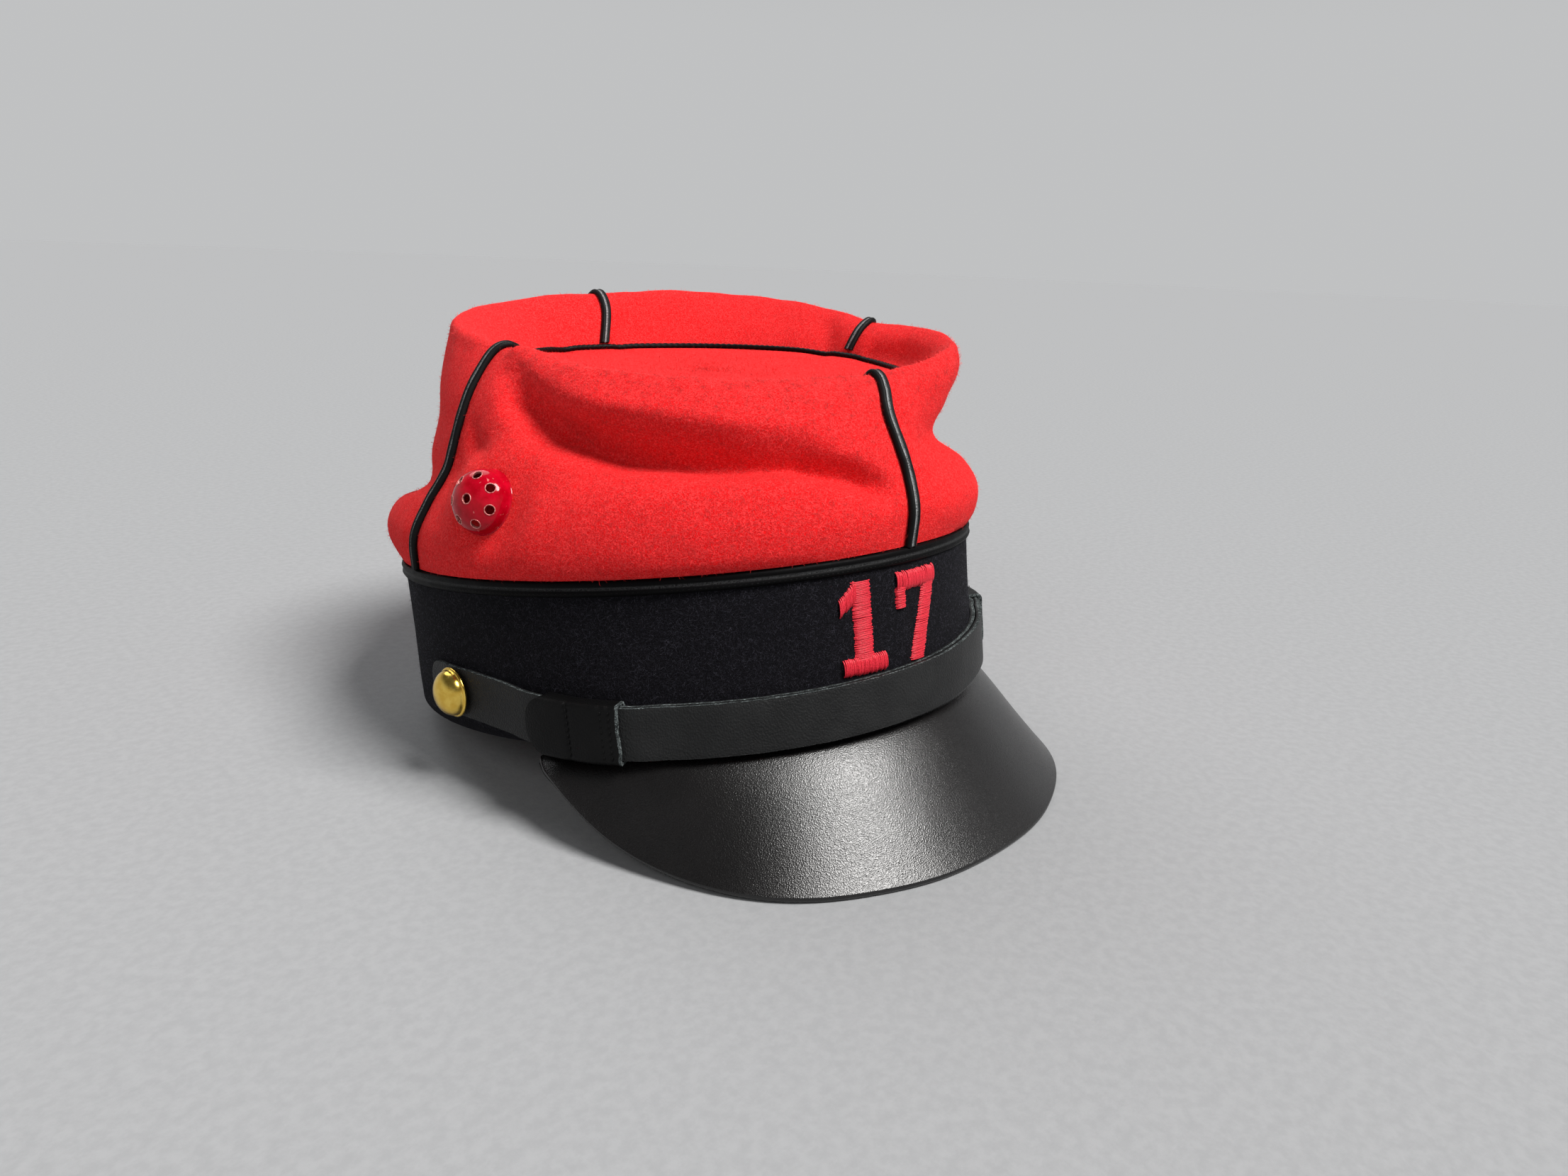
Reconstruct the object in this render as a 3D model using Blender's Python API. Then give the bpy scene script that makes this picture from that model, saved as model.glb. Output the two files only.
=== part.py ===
"""Kepi cap: a soft felt crown of four panels over a dark cloth band, a leather peak, two
chin straps that run through each other's slides, two buttons and two vents.

The cap is worked out upright in its own frame (millimetres, +Z along the band's axis, the
peak towards -Y, the wearer's left towards +X) and is then leaned back until the front edge
of the peak and the back edge of the band stand on one level surface, as it rests by itself.
"""

import bpy
import bmesh
from bisect import bisect_right
from math import ceil, sin, cos, exp, pi, radians, hypot, sqrt
from mathutils import Vector, Matrix
from mathutils.bvhtree import BVHTree

for old in list(bpy.data.objects):
    bpy.data.objects.remove(old, do_unlink=True)

# Driving sizes, in millimetres and degrees
MM = 0.001
GAP = 0.3                   # clearance kept between neighbouring pieces
CLEAR = 0.35                # the same under pieces that bend over facets
BAND_A = 100.0              # band, half its outer length front to back
BAND_B = 87.0               # band, half its outer width
BAND_WALL = 2.5
BAND_HEIGHT = 45.8
BAND_SEGMENTS = 72
LEAN = 9.58                 # how far the cap leans back as it rests

PANEL_WALL = 2.0            # felt of the crown
PANEL_ARC = 140.0           # length of a panel along the band, for creases and braids
PANEL_RISE = 95.0           # length of a panel from the band to the disc
SEAM_HALF_GAP = 0.2
SEAM_FLAT = 2.6             # strip each side of a seam that stays flat under the braid
CREASE_FADE = 9.0           # length over which a crease fades out towards a seam
DISC_AT = 0.97              # height on the crown's roll at which the disc is sewn in
DISC_WALL = 2.0
DISC_SAG = 1.2
DISC_RINGS = ((1.0, 0.0), (0.55, DISC_SAG), (0.0, DISC_SAG))

BRAID_HALF = 2.0            # half width of the braid
BRAID_RIB = 1.6             # height of its two ribs
BRAID_GROOVE = 1.05         # height at its middle groove
BRAID_PROUD = 0.5           # room left between a seam braid's end and the piping
BASE_BRAID_Z = 43.8
PIPING_R = 1.0

PEAK_WALL = 2.4
PEAK_SPAN = 71.0            # angle round the band from its middle to the peak's corners
PEAK_BULGE = 1.6
PEAK_ROOT = -2.5            # where the peak leaves the band's lower edge
PEAK_STEPS = 30
PEAK_ROWS = (0.0, 0.14, 0.40, 0.68, 0.95)
PEAK_EASE = 0.9             # how far the lower edge is drawn back under the upper one

STRAP_WALL = 1.6
STRAP_HEIGHT = 14.3
STRAP_LIFT = 1.2            # how far a strap stands off more inside a slide
STRAP_LEAD = 7.0            # angle over which it rises to that and falls again
STRAP_STEP = 6.0            # most angle between two of its sections
STRAP_END = (2.6, 0.7)      # how much the last two sections of a free end are narrowed
SLIDE_HEIGHT = 16.6
SLIDE_BACK, SLIDE_FRONT = 0.9, 1.2
SLIDE_CORNER = 5.0
SLIDE_ROWS = (-1.0, -0.8, -0.45, 0.0, 0.45, 0.8, 1.0)
SLIDE_STEPS = 4

BUTTON_ANGLE = 89.0
BUTTON_Z = 12.3
BUTTON_TURNS = 24
# Radius and height of the button's rings
BUTTON_RINGS = ((7.0, 0.0), (7.4, 0.35), (7.4, 0.8), (6.8, 1.9), (5.6, 3.1), (3.9, 4.1),
                (2.0, 4.65))
BUTTON_HEIGHT = 4.8

VENT_S, VENT_V = 0.207, 0.226
VENT_R = 8.8
VENT_AXIS = {"fr": (-0.90, -0.36, 0.24), "fl": (0.90, -0.36, 0.24)}
VENT_DRAW = 0.7             # share by which the felt round a vent is drawn to its plane
VENT_REACH = 21.0           # distance from its middle at which that has faded out
VENT_WALL = 0.9
VENT_SKIRT = 1.2            # least height of the vent's upright rim
VENT_DOME = 6.0             # height of its dome above the rim
# Share of the radius and of the dome's height
VENT_BOWS = ((1.0, 0.10), (0.955, 0.34), (0.84, 0.60), (0.64, 0.82), (0.36, 0.955))
VENT_TURNS = 18
VENT_HOLES = 7
VENT_HOLE_R = 1.35
VENT_HOLE_SIDES = 8
VENT_RING_TILT = 47.0       # angle of the hole ring from the dome's axis
VENT_FOCUS = 2.5            # depth under the rim at which the holes' axes meet

DIGIT_THICK = 0.8
DIGIT_FOOT_Z = 14.2
DIGIT_X = (-18.6, 1.6)      # middles of the two digits along the band

# Rings of the crown from the band's top (v 0) over the rolled top edge to the disc (v 1):
# middle, half length, half width, twist, how far back the side seams sit, how far the front
# seam leads to the wearer's left, and the heights at the front, right, back and left seam
RINGS = (
    #  v     cx    cy     A      B    twist side lead  front  right  back   left
    (0.00,  0.0,  0.0,  99.8, 86.8,  0.0, 12.0, 0.0,  46.2,  46.2,  46.2,  46.2),
    (0.10,  1.0,  1.0, 102.8, 88.0,  0.5,  8.6, 0.0,  56.0,  56.0,  57.0,  57.0),
    (0.20,  2.5,  1.5, 101.5, 85.5,  1.2,  6.0, 0.4,  65.0,  65.0,  67.0,  66.0),
    (0.31,  3.3,  1.0,  99.0, 80.5,  2.5,  3.2, 1.0,  73.0,  75.0,  79.0,  76.0),
    (0.43,  4.8,  1.0,  96.0, 78.5,  4.5,  0.4, 2.0,  82.0,  86.0,  95.0,  87.0),
    (0.56,  8.3, -0.5,  91.5, 77.5,  6.5, -1.0, 3.4,  88.3,  97.0, 110.0,  99.0),
    (0.70, 11.6, -4.0,  85.5, 74.5,  8.5, -1.6, 3.8,  92.0, 106.5, 125.5, 108.5),
    (0.80, 12.5, -7.5,  79.5, 71.0,  9.5, -1.2, 3.4,  92.8, 109.3, 132.6, 112.6),
    (0.88, 12.0, -9.0,  74.5, 65.0,  9.5,  0.0, 2.0,  91.6, 107.0, 125.5, 109.0),
    (0.97, 11.3, -9.7,  70.5, 60.5,  6.0,  0.0, 0.0,  88.6, 102.0, 111.0, 100.6),
    (1.00, 11.3, -9.7,  70.5, 60.5,  6.0,  0.0, 0.0,  86.4,  99.8, 108.8,  98.4),
)
# How far each panel swells between its seams: outward, then upward
LOBES = (
    #  v    out: fr    fl    br    bl   up: fr   fl   br   bl
    (0.00,      0.0,  0.0,  0.0,  0.0,     0.0, 0.0, 0.0, 0.0),
    (0.10,      3.0,  2.5,  4.3,  4.0,     0.0, 0.0, 0.0, 0.0),
    (0.20,      5.0,  0.0,  3.0,  2.5,     0.0, 0.0, 0.0, 0.0),
    (0.31,      3.5, -4.5, -2.0, -2.0,     0.0, 0.0, 0.0, 0.0),
    (0.43,      2.0,  0.5, -4.5, -1.5,     0.0, 0.0, 0.0, 0.0),
    (0.56,      3.0,  5.0, -0.5,  3.0,     0.0, 1.0, 0.0, 0.0),
    (0.70,      3.0,  5.5,  4.5,  6.0,     0.0, 2.0, 1.0, 1.5),
    (0.80,      3.0,  5.0,  8.5,  6.0,     0.0, 3.0, 1.5, 2.0),
    (0.88,      2.0,  4.0,  6.0,  5.0,     0.0, 2.0, 1.0, 1.5),
    (0.97,      0.0,  0.0,  0.0,  0.0,     0.0, 0.0, 0.0, 0.0),
    (1.00,      0.0,  0.0,  0.0,  0.0,     0.0, 0.0, 0.0, 0.0),
)
# Creases pressed into a panel, as lines of s, v, depth and width: s runs from its side seam
# (0) to its front or back seam (1). A negative depth is a ridge.
CREASES = {
    "fr": (((0.13, 0.66, 2.0, 4.5), (0.18, 0.57, 7.0, 6.0), (0.28, 0.47, 9.5, 7.0),
            (0.42, 0.40, 9.5, 7.0), (0.58, 0.355, 8.0, 6.5), (0.76, 0.32, 6.0, 5.5),
            (0.90, 0.21, 4.0, 4.0), (0.97, 0.15, 1.0, 3.5)),
           ((0.07, 0.80, -2.5, 6.0), (0.15, 0.86, -2.5, 7.0), (0.24, 0.90, -1.0, 7.0))),
    "fl": (((0.12, 0.46, 1.0, 6.0), (0.34, 0.40, 3.5, 7.0), (0.62, 0.33, 3.0, 7.0),
            (0.88, 0.30, 1.0, 6.0)),),
    "br": (((0.06, 0.30, 1.5, 4.0), (0.25, 0.27, 5.0, 5.0), (0.50, 0.26, 6.0, 5.5),
            (0.80, 0.28, 5.0, 6.0), (0.94, 0.34, 1.0, 5.0)),),
    "bl": (((0.12, 0.40, 1.5, 6.0), (0.40, 0.36, 5.5, 8.0), (0.70, 0.42, 5.0, 8.0),
            (0.92, 0.52, 1.0, 6.0)),),
}
# Panel: angle of its side seam, angle of its front or back seam, node name
PANELS = {
    "fr": (-90.0, 0.0, "crown_front_right"),
    "fl": (90.0, 0.0, "crown_front_left"),
    "br": (-90.0, -180.0, "crown_back_right"),
    "bl": (90.0, 180.0, "crown_back_left"),
}
PANEL_KEYS = ("fr", "fl", "br", "bl")
# Edge of the peak from its front tip to its corner, in the resting frame: side, front, up
PEAK_EDGE = (
    (0.0, -130.6, 0.9), (22.6, -128.6, 0.9), (41.0, -121.8, 0.9), (56.5, -113.4, 0.9),
    (67.8, -101.6, 1.1), (75.6, -87.0, 1.8), (80.2, -74.5, 3.9), (83.6, -64.5, 7.3),
    (85.6, -56.0, 11.6), (86.4, -47.5, 15.8), (86.0, -39.5, 19.0), (84.9, -31.5, 21.2),
)
# Height of the middle of the chin straps at angles round the band, wearer's right to left
STRAP_PATH = ((-98.0, 12.7), (-89.0, 12.3), (-83.0, 11.7), (-77.0, 10.4), (-69.0, 8.2),
              (-60.0, 6.3), (-50.0, 5.5), (-30.0, 5.5), (-15.0, 5.9), (0.0, 6.5), (10.0, 7.2),
              (20.0, 8.2), (32.0, 9.1), (46.0, 9.9), (62.0, 10.8), (76.0, 11.6), (89.0, 12.3),
              (98.0, 12.7))
# Angles between which each slide lies, from the front
SLIDES = {"slide_right": (-54.0, -69.0), "slide_left": (45.0, 60.0)}

# Colours are linear RGB
MATERIALS = {
    "red_felt": ((0.80, 0.012, 0.012), 0.0, 0.95),
    "navy_cloth": ((0.006, 0.007, 0.014), 0.0, 0.95),
    "black_braid": ((0.004, 0.004, 0.005), 0.0, 0.60),
    "black_leather": ((0.010, 0.010, 0.010), 0.0, 0.42),
    "strap_leather": ((0.014, 0.015, 0.016), 0.0, 0.60),
    "brass": ((0.83, 0.58, 0.20), 1.0, 0.14),
    "red_enamel": ((0.42, 0.002, 0.012), 0.0, 0.12),
    "red_thread": ((0.62, 0.012, 0.035), 0.0, 0.55),
}


def blend(rows, x):
    """Columns of a table at x: a smooth curve through every row."""
    if x <= rows[0][0]:
        return list(rows[0][1:])
    if x >= rows[-1][0]:
        return list(rows[-1][1:])
    k = bisect_right([r[0] for r in rows], x) - 1
    a, b = rows[k], rows[k + 1]
    h = b[0] - a[0]
    t = (x - a[0]) / h
    out = []
    for j in range(1, len(a)):
        left = (b[j] - rows[k - 1][j]) / (b[0] - rows[k - 1][0]) * h if k else b[j] - a[j]
        right = ((rows[k + 2][j] - a[j]) / (rows[k + 2][0] - a[0]) * h
                 if k + 2 < len(rows) else b[j] - a[j])
        out.append((2 * t**3 - 3 * t**2 + 1) * a[j] + (t**3 - 2 * t**2 + t) * left
                   + (3 * t**2 - 2 * t**3) * b[j] + (t**3 - t**2) * right)
    return out


def ramp(x, a, b):
    """A smooth rise from 0 at a to 1 at b."""
    t = min(max((x - a) / (b - a), 0), 1)
    return t * t * (3 - 2 * t)


def ring_point(angle, row):
    """A point of a crown ring at a seam angle, and its outward direction."""
    cx, cy, half_a, half_b, twist, side, lead, front, right, back, left = row
    th = radians(angle)
    u = th + radians(side) * sin(th) + radians(lead) * (1 + cos(th)) / 2
    x, y = half_b * sin(u), -half_a * cos(u)
    nx, ny = half_a * sin(u), -half_b * cos(u)
    n = hypot(nx, ny)
    c, s = cos(radians(twist)), sin(radians(twist))
    z = ((front + right + back + left) / 4 + (front - back) / 2 * cos(th)
         + (left - right) / 2 * sin(th) + (front + back - left - right) / 4 * cos(2 * th))
    return (Vector((cx + x * c + y * s, cy - x * s + y * c, z)),
            Vector(((nx * c + ny * s) / n, (-nx * s + ny * c) / n, 0.0)))


def panel_base(key, s, v):
    """The outer face of a panel before its creases are pressed in."""
    side, end, _ = PANELS[key]
    p, out = ring_point(side + (end - side) * s, blend(RINGS, v))
    lobe = blend(LOBES, v)
    i = PANEL_KEYS.index(key)
    e = SEAM_FLAT / PANEL_ARC
    q = (s - e) / (1 - 2 * e)
    w = sin(pi * q) ** 0.8 if 0 < q < 1 else 0.0
    return p + out * (lobe[i] * w) + Vector((0, 0, lobe[4 + i] * w))


def facing(fn, key, s, v, d=0.002):
    """Outward unit normal of a panel function, by differences."""
    a = fn(key, min(s + d, 1), v) - fn(key, max(s - d, 0), v)
    b = fn(key, s, min(v + d, 1)) - fn(key, s, max(v - d, 0))
    n = a.cross(b).normalized()
    return -n if key in ("fl", "br") else n


def crease_depth(key, s, v):
    """How deep a panel's creases are at (s, v)."""
    x, y = s * PANEL_ARC, v * PANEL_RISE
    total = 0.0
    for rows in CREASES[key]:
        cuts = []
        for a, b in zip(rows[:-1], rows[1:]):
            ax, ay = a[0] * PANEL_ARC, a[1] * PANEL_RISE
            dx, dy = b[0] * PANEL_ARC - ax, b[1] * PANEL_RISE - ay
            t = min(max(((x - ax) * dx + (y - ay) * dy) / (dx * dx + dy * dy), 0), 1)
            off = hypot(x - ax - t * dx, y - ay - t * dy)
            deep, wide = a[2] + (b[2] - a[2]) * t, a[3] + (b[3] - a[3]) * t
            cuts.append(deep * exp(-(off / wide) ** 2))
        total += max(cuts, key=abs)
    return total * ramp(min(s, 1 - s) * PANEL_ARC, SEAM_FLAT, SEAM_FLAT + CREASE_FADE)


def creased_point(key, s, v):
    """The outer face of a panel with its creases pressed in."""
    p = panel_base(key, s, v)
    deep = crease_depth(key, s, v)
    return p - facing(panel_base, key, s, v) * deep if abs(deep) > 0.01 else p


def panel_point(key, s, v):
    """The outer face of a panel, which a front panel's vent draws towards its own plane."""
    p = creased_point(key, s, v)
    if key not in VENT_AXIS:
        return p
    out = Vector(VENT_AXIS[key]).normalized()
    arm = p - creased_point(key, VENT_S, VENT_V)
    high = arm.dot(out)
    away = (arm - out * high).length
    return p - out * (high * VENT_DRAW * (1 - ramp(away, VENT_R, VENT_REACH)))


def band_point(angle, off, z):
    """A point standing off the band's outer face by off."""
    u = radians(angle)
    n = Vector((BAND_A * sin(u), -BAND_B * cos(u), 0)).normalized()
    return Vector((BAND_B * sin(u), -BAND_A * cos(u), z)) + n * off


def mesh_object(name, material, points, faces, smooth=True, edge=38):
    """A closed body from points in millimetres, carried by the leaning empty."""
    mesh = bpy.data.meshes.new(name)
    mesh.from_pydata([p * MM for p in points], [], faces)
    bm = bmesh.new()
    bm.from_mesh(mesh)
    bmesh.ops.recalc_face_normals(bm, faces=bm.faces)
    if bm.calc_volume(signed=True) < 0:
        bmesh.ops.reverse_faces(bm, faces=bm.faces)
    bmesh.ops.triangulate(bm, faces=[f for f in bm.faces if len(f.verts) > 4])
    bm.to_mesh(mesh)
    bm.free()
    if smooth:
        mesh.polygons.foreach_set("use_smooth", [True] * len(mesh.polygons))
        mesh.set_sharp_from_angle(angle=radians(edge))
    obj = bpy.data.objects.new(name, mesh)
    obj.parent = cap
    bpy.context.scene.collection.objects.link(obj)
    mesh.materials.append(principled(name, material))
    return obj


def principled(name, kind):
    """One Principled material for each piece."""
    colour, metal, rough = MATERIALS[kind]
    mat = bpy.data.materials.new(name + "_" + kind)
    mat.use_nodes = True
    node = mat.node_tree.nodes["Principled BSDF"]
    node.inputs["Base Color"].default_value = (*colour, 1.0)
    node.inputs["Metallic"].default_value = metal
    node.inputs["Roughness"].default_value = rough
    mat.diffuse_color = (*colour, 1.0)
    return mat


def unrest(p):
    """From the frame of the resting cap, level under the band's back edge, to its own frame."""
    level = Matrix.Rotation(radians(LEAN), 3, "X")
    return level @ (Vector(p) - Vector((0, 0, BAND_A * sin(radians(LEAN)))))


def shell(outer, inner):
    """Points and faces of a sheet solid between two grids of points."""
    n, m = len(outer), len(outer[0])
    points = [p for row in outer for p in row] + [p for row in inner for p in row]
    faces = []
    for i in range(n - 1):
        for j in range(m - 1):
            a = i * m + j
            b = a + n * m
            faces.append((a, a + m, a + m + 1, a + 1))
            faces.append((b, b + 1, b + m + 1, b + m))
    # the rim between the two grids
    loop = [i * m for i in range(n)] + [(n - 1) * m + j for j in range(1, m)]
    loop += [i * m + m - 1 for i in range(n - 2, -1, -1)] + list(range(m - 2, 0, -1))
    for a, b in zip(loop, loop[1:] + loop[:1]):
        faces.append((b, a, a + n * m, b + n * m))
    return points, faces


def ring_faces(first, second, count):
    """Faces between two rings of points that start at the given numbers."""
    return [(first + k, first + (k + 1) % count, second + (k + 1) % count, second + k)
            for k in range(count)]


def fan_faces(ring, tip, count):
    """Triangles between a ring of points and one point."""
    return [(ring + k, ring + (k + 1) % count, tip) for k in range(count)]


def loft(sections, closed=False):
    """Points and faces of a bar through a run of like sections."""
    n, m = len(sections), len(sections[0])
    points = [p for sec in sections for p in sec]
    faces = []
    for i in range(n if closed else n - 1):
        faces += ring_faces(i * m, (i + 1) % n * m, m)
    if not closed:
        faces.append(tuple(range(m)))
        faces.append(tuple((n - 1) * m + j for j in reversed(range(m))))
    return points, faces


# The crown's four panels share one list of stations, so neighbours' facets line up
E = SEAM_FLAT / PANEL_ARC
S_STEPS = [SEAM_HALF_GAP / PANEL_ARC, E] + [0.1 * k for k in range(1, 10)] + \
          [1 - E, 1 - SEAM_HALF_GAP / PANEL_ARC]
V_STEPS = (0.0, 0.05, 0.10, 0.15, 0.20, 0.255, 0.31, 0.37, 0.43, 0.495, 0.56, 0.63, 0.70,
           0.75, 0.80, 0.84, 0.88, 0.93, 0.97, 1.0)
RIM_AT = 0.8                # height on the crown at which its rolled rim is highest


def panel_grid(key):
    outer = [[panel_point(key, s, v) for v in V_STEPS] for s in S_STEPS]
    inner = [[p - facing(panel_point, key, s, v, 0.004) * PANEL_WALL
              for p, v in zip(row, V_STEPS)] for row, s in zip(outer, S_STEPS)]
    # the lower edge lies flat on the band, the upper edge hangs straight down
    for row, out in zip(inner, outer):
        row[0].z = out[0].z
        row[-1].z = out[-1].z
    return outer, inner


def make_band():
    sections = []
    for k in range(BAND_SEGMENTS):
        a = 360.0 * k / BAND_SEGMENTS
        sections.append([band_point(a, 0, 0), band_point(a, 0, BAND_HEIGHT),
                         band_point(a, -BAND_WALL, BAND_HEIGHT),
                         band_point(a, -BAND_WALL, 0)])
    mesh_object("band", "navy_cloth", *loft(sections, closed=True))


def make_panels():
    for key, (_, _, name) in PANELS.items():
        mesh_object(name, "red_felt", *shell(*panel_grid(key)), edge=60)


def disc_edge():
    """Stations round the disc: (panel, s), front seam first, towards the wearer's left."""
    marks = [0.0, E] + [0.1 * k for k in range(1, 10)] + [1 - E]
    out = [("fl", 1 - s) for s in marks] + [("bl", s) for s in marks]
    out += [("br", 1 - s) for s in marks] + [("fr", s) for s in marks]
    return out


def make_disc():
    edge = [panel_point(k, s, DISC_AT) for k, s in disc_edge()]
    mid = sum(edge, Vector()) / len(edge)
    n = len(edge)
    top = []
    for share, drop in DISC_RINGS:
        for p in edge[:n if share else 1]:
            q = p - (p - mid).normalized() * CLEAR
            top.append(mid + (q - mid) * share - Vector((0, 0, drop)))
    points = top + [p - Vector((0, 0, DISC_WALL)) for p in top]
    base = len(top)
    faces = ring_faces(0, base, n)
    for start in (0, base):
        faces += ring_faces(start, start + n, n)
        faces += fan_faces(start + n, start + 2 * n, n)
    mesh_object("crown_top", "red_felt", points, faces)

    # the piping lies on the disc, one flat of its five-sided section down
    corners = [radians(72 * k + 18) for k in range(5)]
    sections = []
    for p in edge:
        inward = (mid - p)
        inward.z = 0
        inward.normalize()
        c = p + inward * (CLEAR + 0.05 + PIPING_R)
        c.z += CLEAR + PIPING_R * sin(radians(54))
        sections.append([c + inward * (PIPING_R * cos(t)) + Vector((0, 0, PIPING_R * sin(t)))
                         for t in corners])
    mesh_object("top_braid", "black_braid", *loft(sections, closed=True))


def braid_section(mid, across, up):
    """Two ribs with a groove between them, seen end on."""
    prof = ((-1.0, 0.0), (-0.95, 0.62), (-0.5, 1.0), (0.0, BRAID_GROOVE / BRAID_RIB),
            (0.5, 1.0), (0.95, 0.62), (1.0, 0.0))
    return [mid + across * (BRAID_HALF * a) + up * (CLEAR + BRAID_RIB * h) for a, h in prof]


def braid_stops(key, s):
    """Stations of a seam braid, from the band to just above the piping."""
    floor = panel_point(key, s, DISC_AT).z + GAP + 2 * PIPING_R + BRAID_PROUD
    stops = [v for v in V_STEPS if v < RIM_AT or panel_point(key, s, v).z > floor]
    v = stops[-1]
    while panel_point(key, s, v + 0.002).z > floor:
        v += 0.002
    return [0.006] + stops[1:] + [v]


def make_seam_braids():
    seams = (("front", "fr", "fl", 1.0), ("right", "fr", "br", 0.0),
             ("back", "br", "bl", 1.0), ("left", "bl", "fl", 0.0))
    for name, one, two, s in seams:
        t = E if s == 0.0 else 1 - E
        stops = braid_stops(one, s)
        sections = []
        for v in stops:
            a, b = panel_point(one, t, v), panel_point(two, t, v)
            mid = (a + b) / 2
            across = (a - b).normalized()
            ahead = panel_point(one, s, min(v + 0.01, 1)) - panel_point(one, s, max(v - 0.01, 0))
            up = across.cross(ahead).normalized()
            if up.dot(facing(panel_point, one, t, v)) < 0:
                up = -up
            seam = panel_point(one, s, v)
            proud = max((seam - mid).dot(up), 0.0)
            sections.append(braid_section(mid + up * proud, across, up))
        mesh_object("seam_braid_" + name, "black_braid", *loft(sections))


def make_base_braid():
    sections = []
    for k in range(BAND_SEGMENTS):
        a = 360.0 * k / BAND_SEGMENTS
        prof = ((-BRAID_HALF, 0.0), (-0.9, BRAID_RIB), (0.0, BRAID_GROOVE),
                (0.9, BRAID_RIB), (BRAID_HALF, 0.0))
        sections.append([band_point(a, GAP + h, BASE_BRAID_Z + z) for z, h in prof])
    mesh_object("base_braid", "black_braid", *loft(sections, closed=True))


def peak_top():
    """Lines of the peak's upper face, each from the band out to the edge."""
    far = [0.0]
    for a, b in zip(PEAK_EDGE, PEAK_EDGE[1:]):
        far.append(far[-1] + (Vector(b) - Vector(a)).length)
    edge = [(f / far[-1], *p) for f, p in zip(far, PEAK_EDGE)]
    top = []
    for k in range(PEAK_STEPS + 1):
        t = 2.0 * k / PEAK_STEPS - 1
        side, front, up = blend(edge, abs(t))
        tip = unrest((side if t >= 0 else -side, front, up))
        root = band_point(PEAK_SPAN * t, -0.1, PEAK_ROOT)
        run = tip - root
        across = band_point(PEAK_SPAN * t + 1, 0, 0) - band_point(PEAK_SPAN * t - 1, 0, 0)
        n = across.cross(run).normalized()
        if n.z < 0:
            n = -n
        swell = PEAK_BULGE * (1 - 0.4 * abs(t))
        line = [band_point(PEAK_SPAN * t, -0.1, -GAP)]
        line += [root + run * w + n * (swell * 4 * w * (1 - w)) for w in PEAK_ROWS]
        top.append(line + [tip])
    return top


def make_peak():
    top = peak_top()
    low = []
    for i, line in enumerate(top):
        a = PEAK_SPAN * (2.0 * i / PEAK_STEPS - 1)
        inward = (band_point(a, 0, 0) - band_point(a, 1, 0)) * PEAK_WALL
        row = [line[0] + inward, line[1] + inward - Vector((0, 0, PEAK_EASE))]
        for j in range(2, len(line)):
            along = top[min(i + 1, PEAK_STEPS)][j] - top[max(i - 1, 0)][j]
            across = line[min(j + 1, len(line) - 1)] - line[j - 1]
            n = along.cross(across).normalized()
            row.append(line[j] - (n if n.z > 0 else -n) * PEAK_WALL)
        low.append(row)
    # the edge is eased: its upper corner steps down and its lower one is drawn back
    for line, row in zip(top, low):
        n = (line[-2] - row[-2]).normalized()
        run = (line[-1] - line[-2]).normalized()
        line[-1] = line[-1] - n * (PEAK_WALL * 0.5)
        row[-1] = row[-1] - run * PEAK_EASE
    mesh_object("peak", "black_leather", *shell(top, low), edge=50)


def strap_sections(angles, offs):
    """Sections of a flat strap along the band, narrowed at its first end."""
    out = []
    for k, (a, off) in enumerate(zip(angles, offs)):
        z = blend(STRAP_PATH, a)[0]
        half = STRAP_HEIGHT / 2 - (STRAP_END[k] if k < len(STRAP_END) else 0)
        out.append([band_point(a, off, z - half), band_point(a, off, z + half),
                    band_point(a, off + STRAP_WALL, z + half),
                    band_point(a, off + STRAP_WALL, z - half)])
    return out


def lift(a):
    """Extra stand-off of a strap near and inside a slide."""
    near, far = (abs(x) for x in SLIDES["slide_left" if a > 0 else "slide_right"])
    rise = ramp(abs(a), near - STRAP_LEAD, near - 1.5)
    return STRAP_LIFT * rise * (1 - ramp(abs(a), far + 1.5, far + STRAP_LEAD + 1))


def between(a, b):
    """Angles after a and before b, at most STRAP_STEP apart."""
    n = ceil(abs(b - a) / STRAP_STEP)
    return [a + (b - a) * k / n for k in range(1, n)]


def strap_angles(sign):
    """Stations from a button's free end round the front into the far slide."""
    run = [98.2, 97.4, 96.2, 92.0, 88.0, 84.0]
    near, far = (abs(x) for x in SLIDES["slide_left" if sign > 0 else "slide_right"])
    run += between(84.0, far + 11) + [far + step for step in (11.0, 8.0, 4.5, 1.5, -2.0, -7.5)]
    run += [near + step for step in (2.0, -1.0, -4.0, -8.0, -14.0)]
    near, far = (-abs(x) for x in SLIDES["slide_right" if sign > 0 else "slide_left"])
    run += between(run[-1], near + 10) + [near + step for step in (10.0, 7.0, 4.0, 1.0, -3.0, -8.0)]
    return [sign * a for a in run + [far + 2.0]]


def make_straps():
    # the right strap lies against the band all the way
    run = strap_angles(-1)
    mesh_object("chin_strap_right", "strap_leather",
                *loft(strap_sections(run, [GAP + lift(a) for a in run])))
    # the left strap lies over it, and against the band beyond its own slide
    run = strap_angles(1)
    far = SLIDES["slide_left"][1]
    offs = []
    for a in run:
        over = 1 - ramp(a, far + 0.5, far + STRAP_LEAD + 1)
        offs.append(GAP + (STRAP_WALL + GAP) * over + lift(a))
    mesh_object("chin_strap_left", "strap_leather", *loft(strap_sections(run, offs)))


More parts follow.
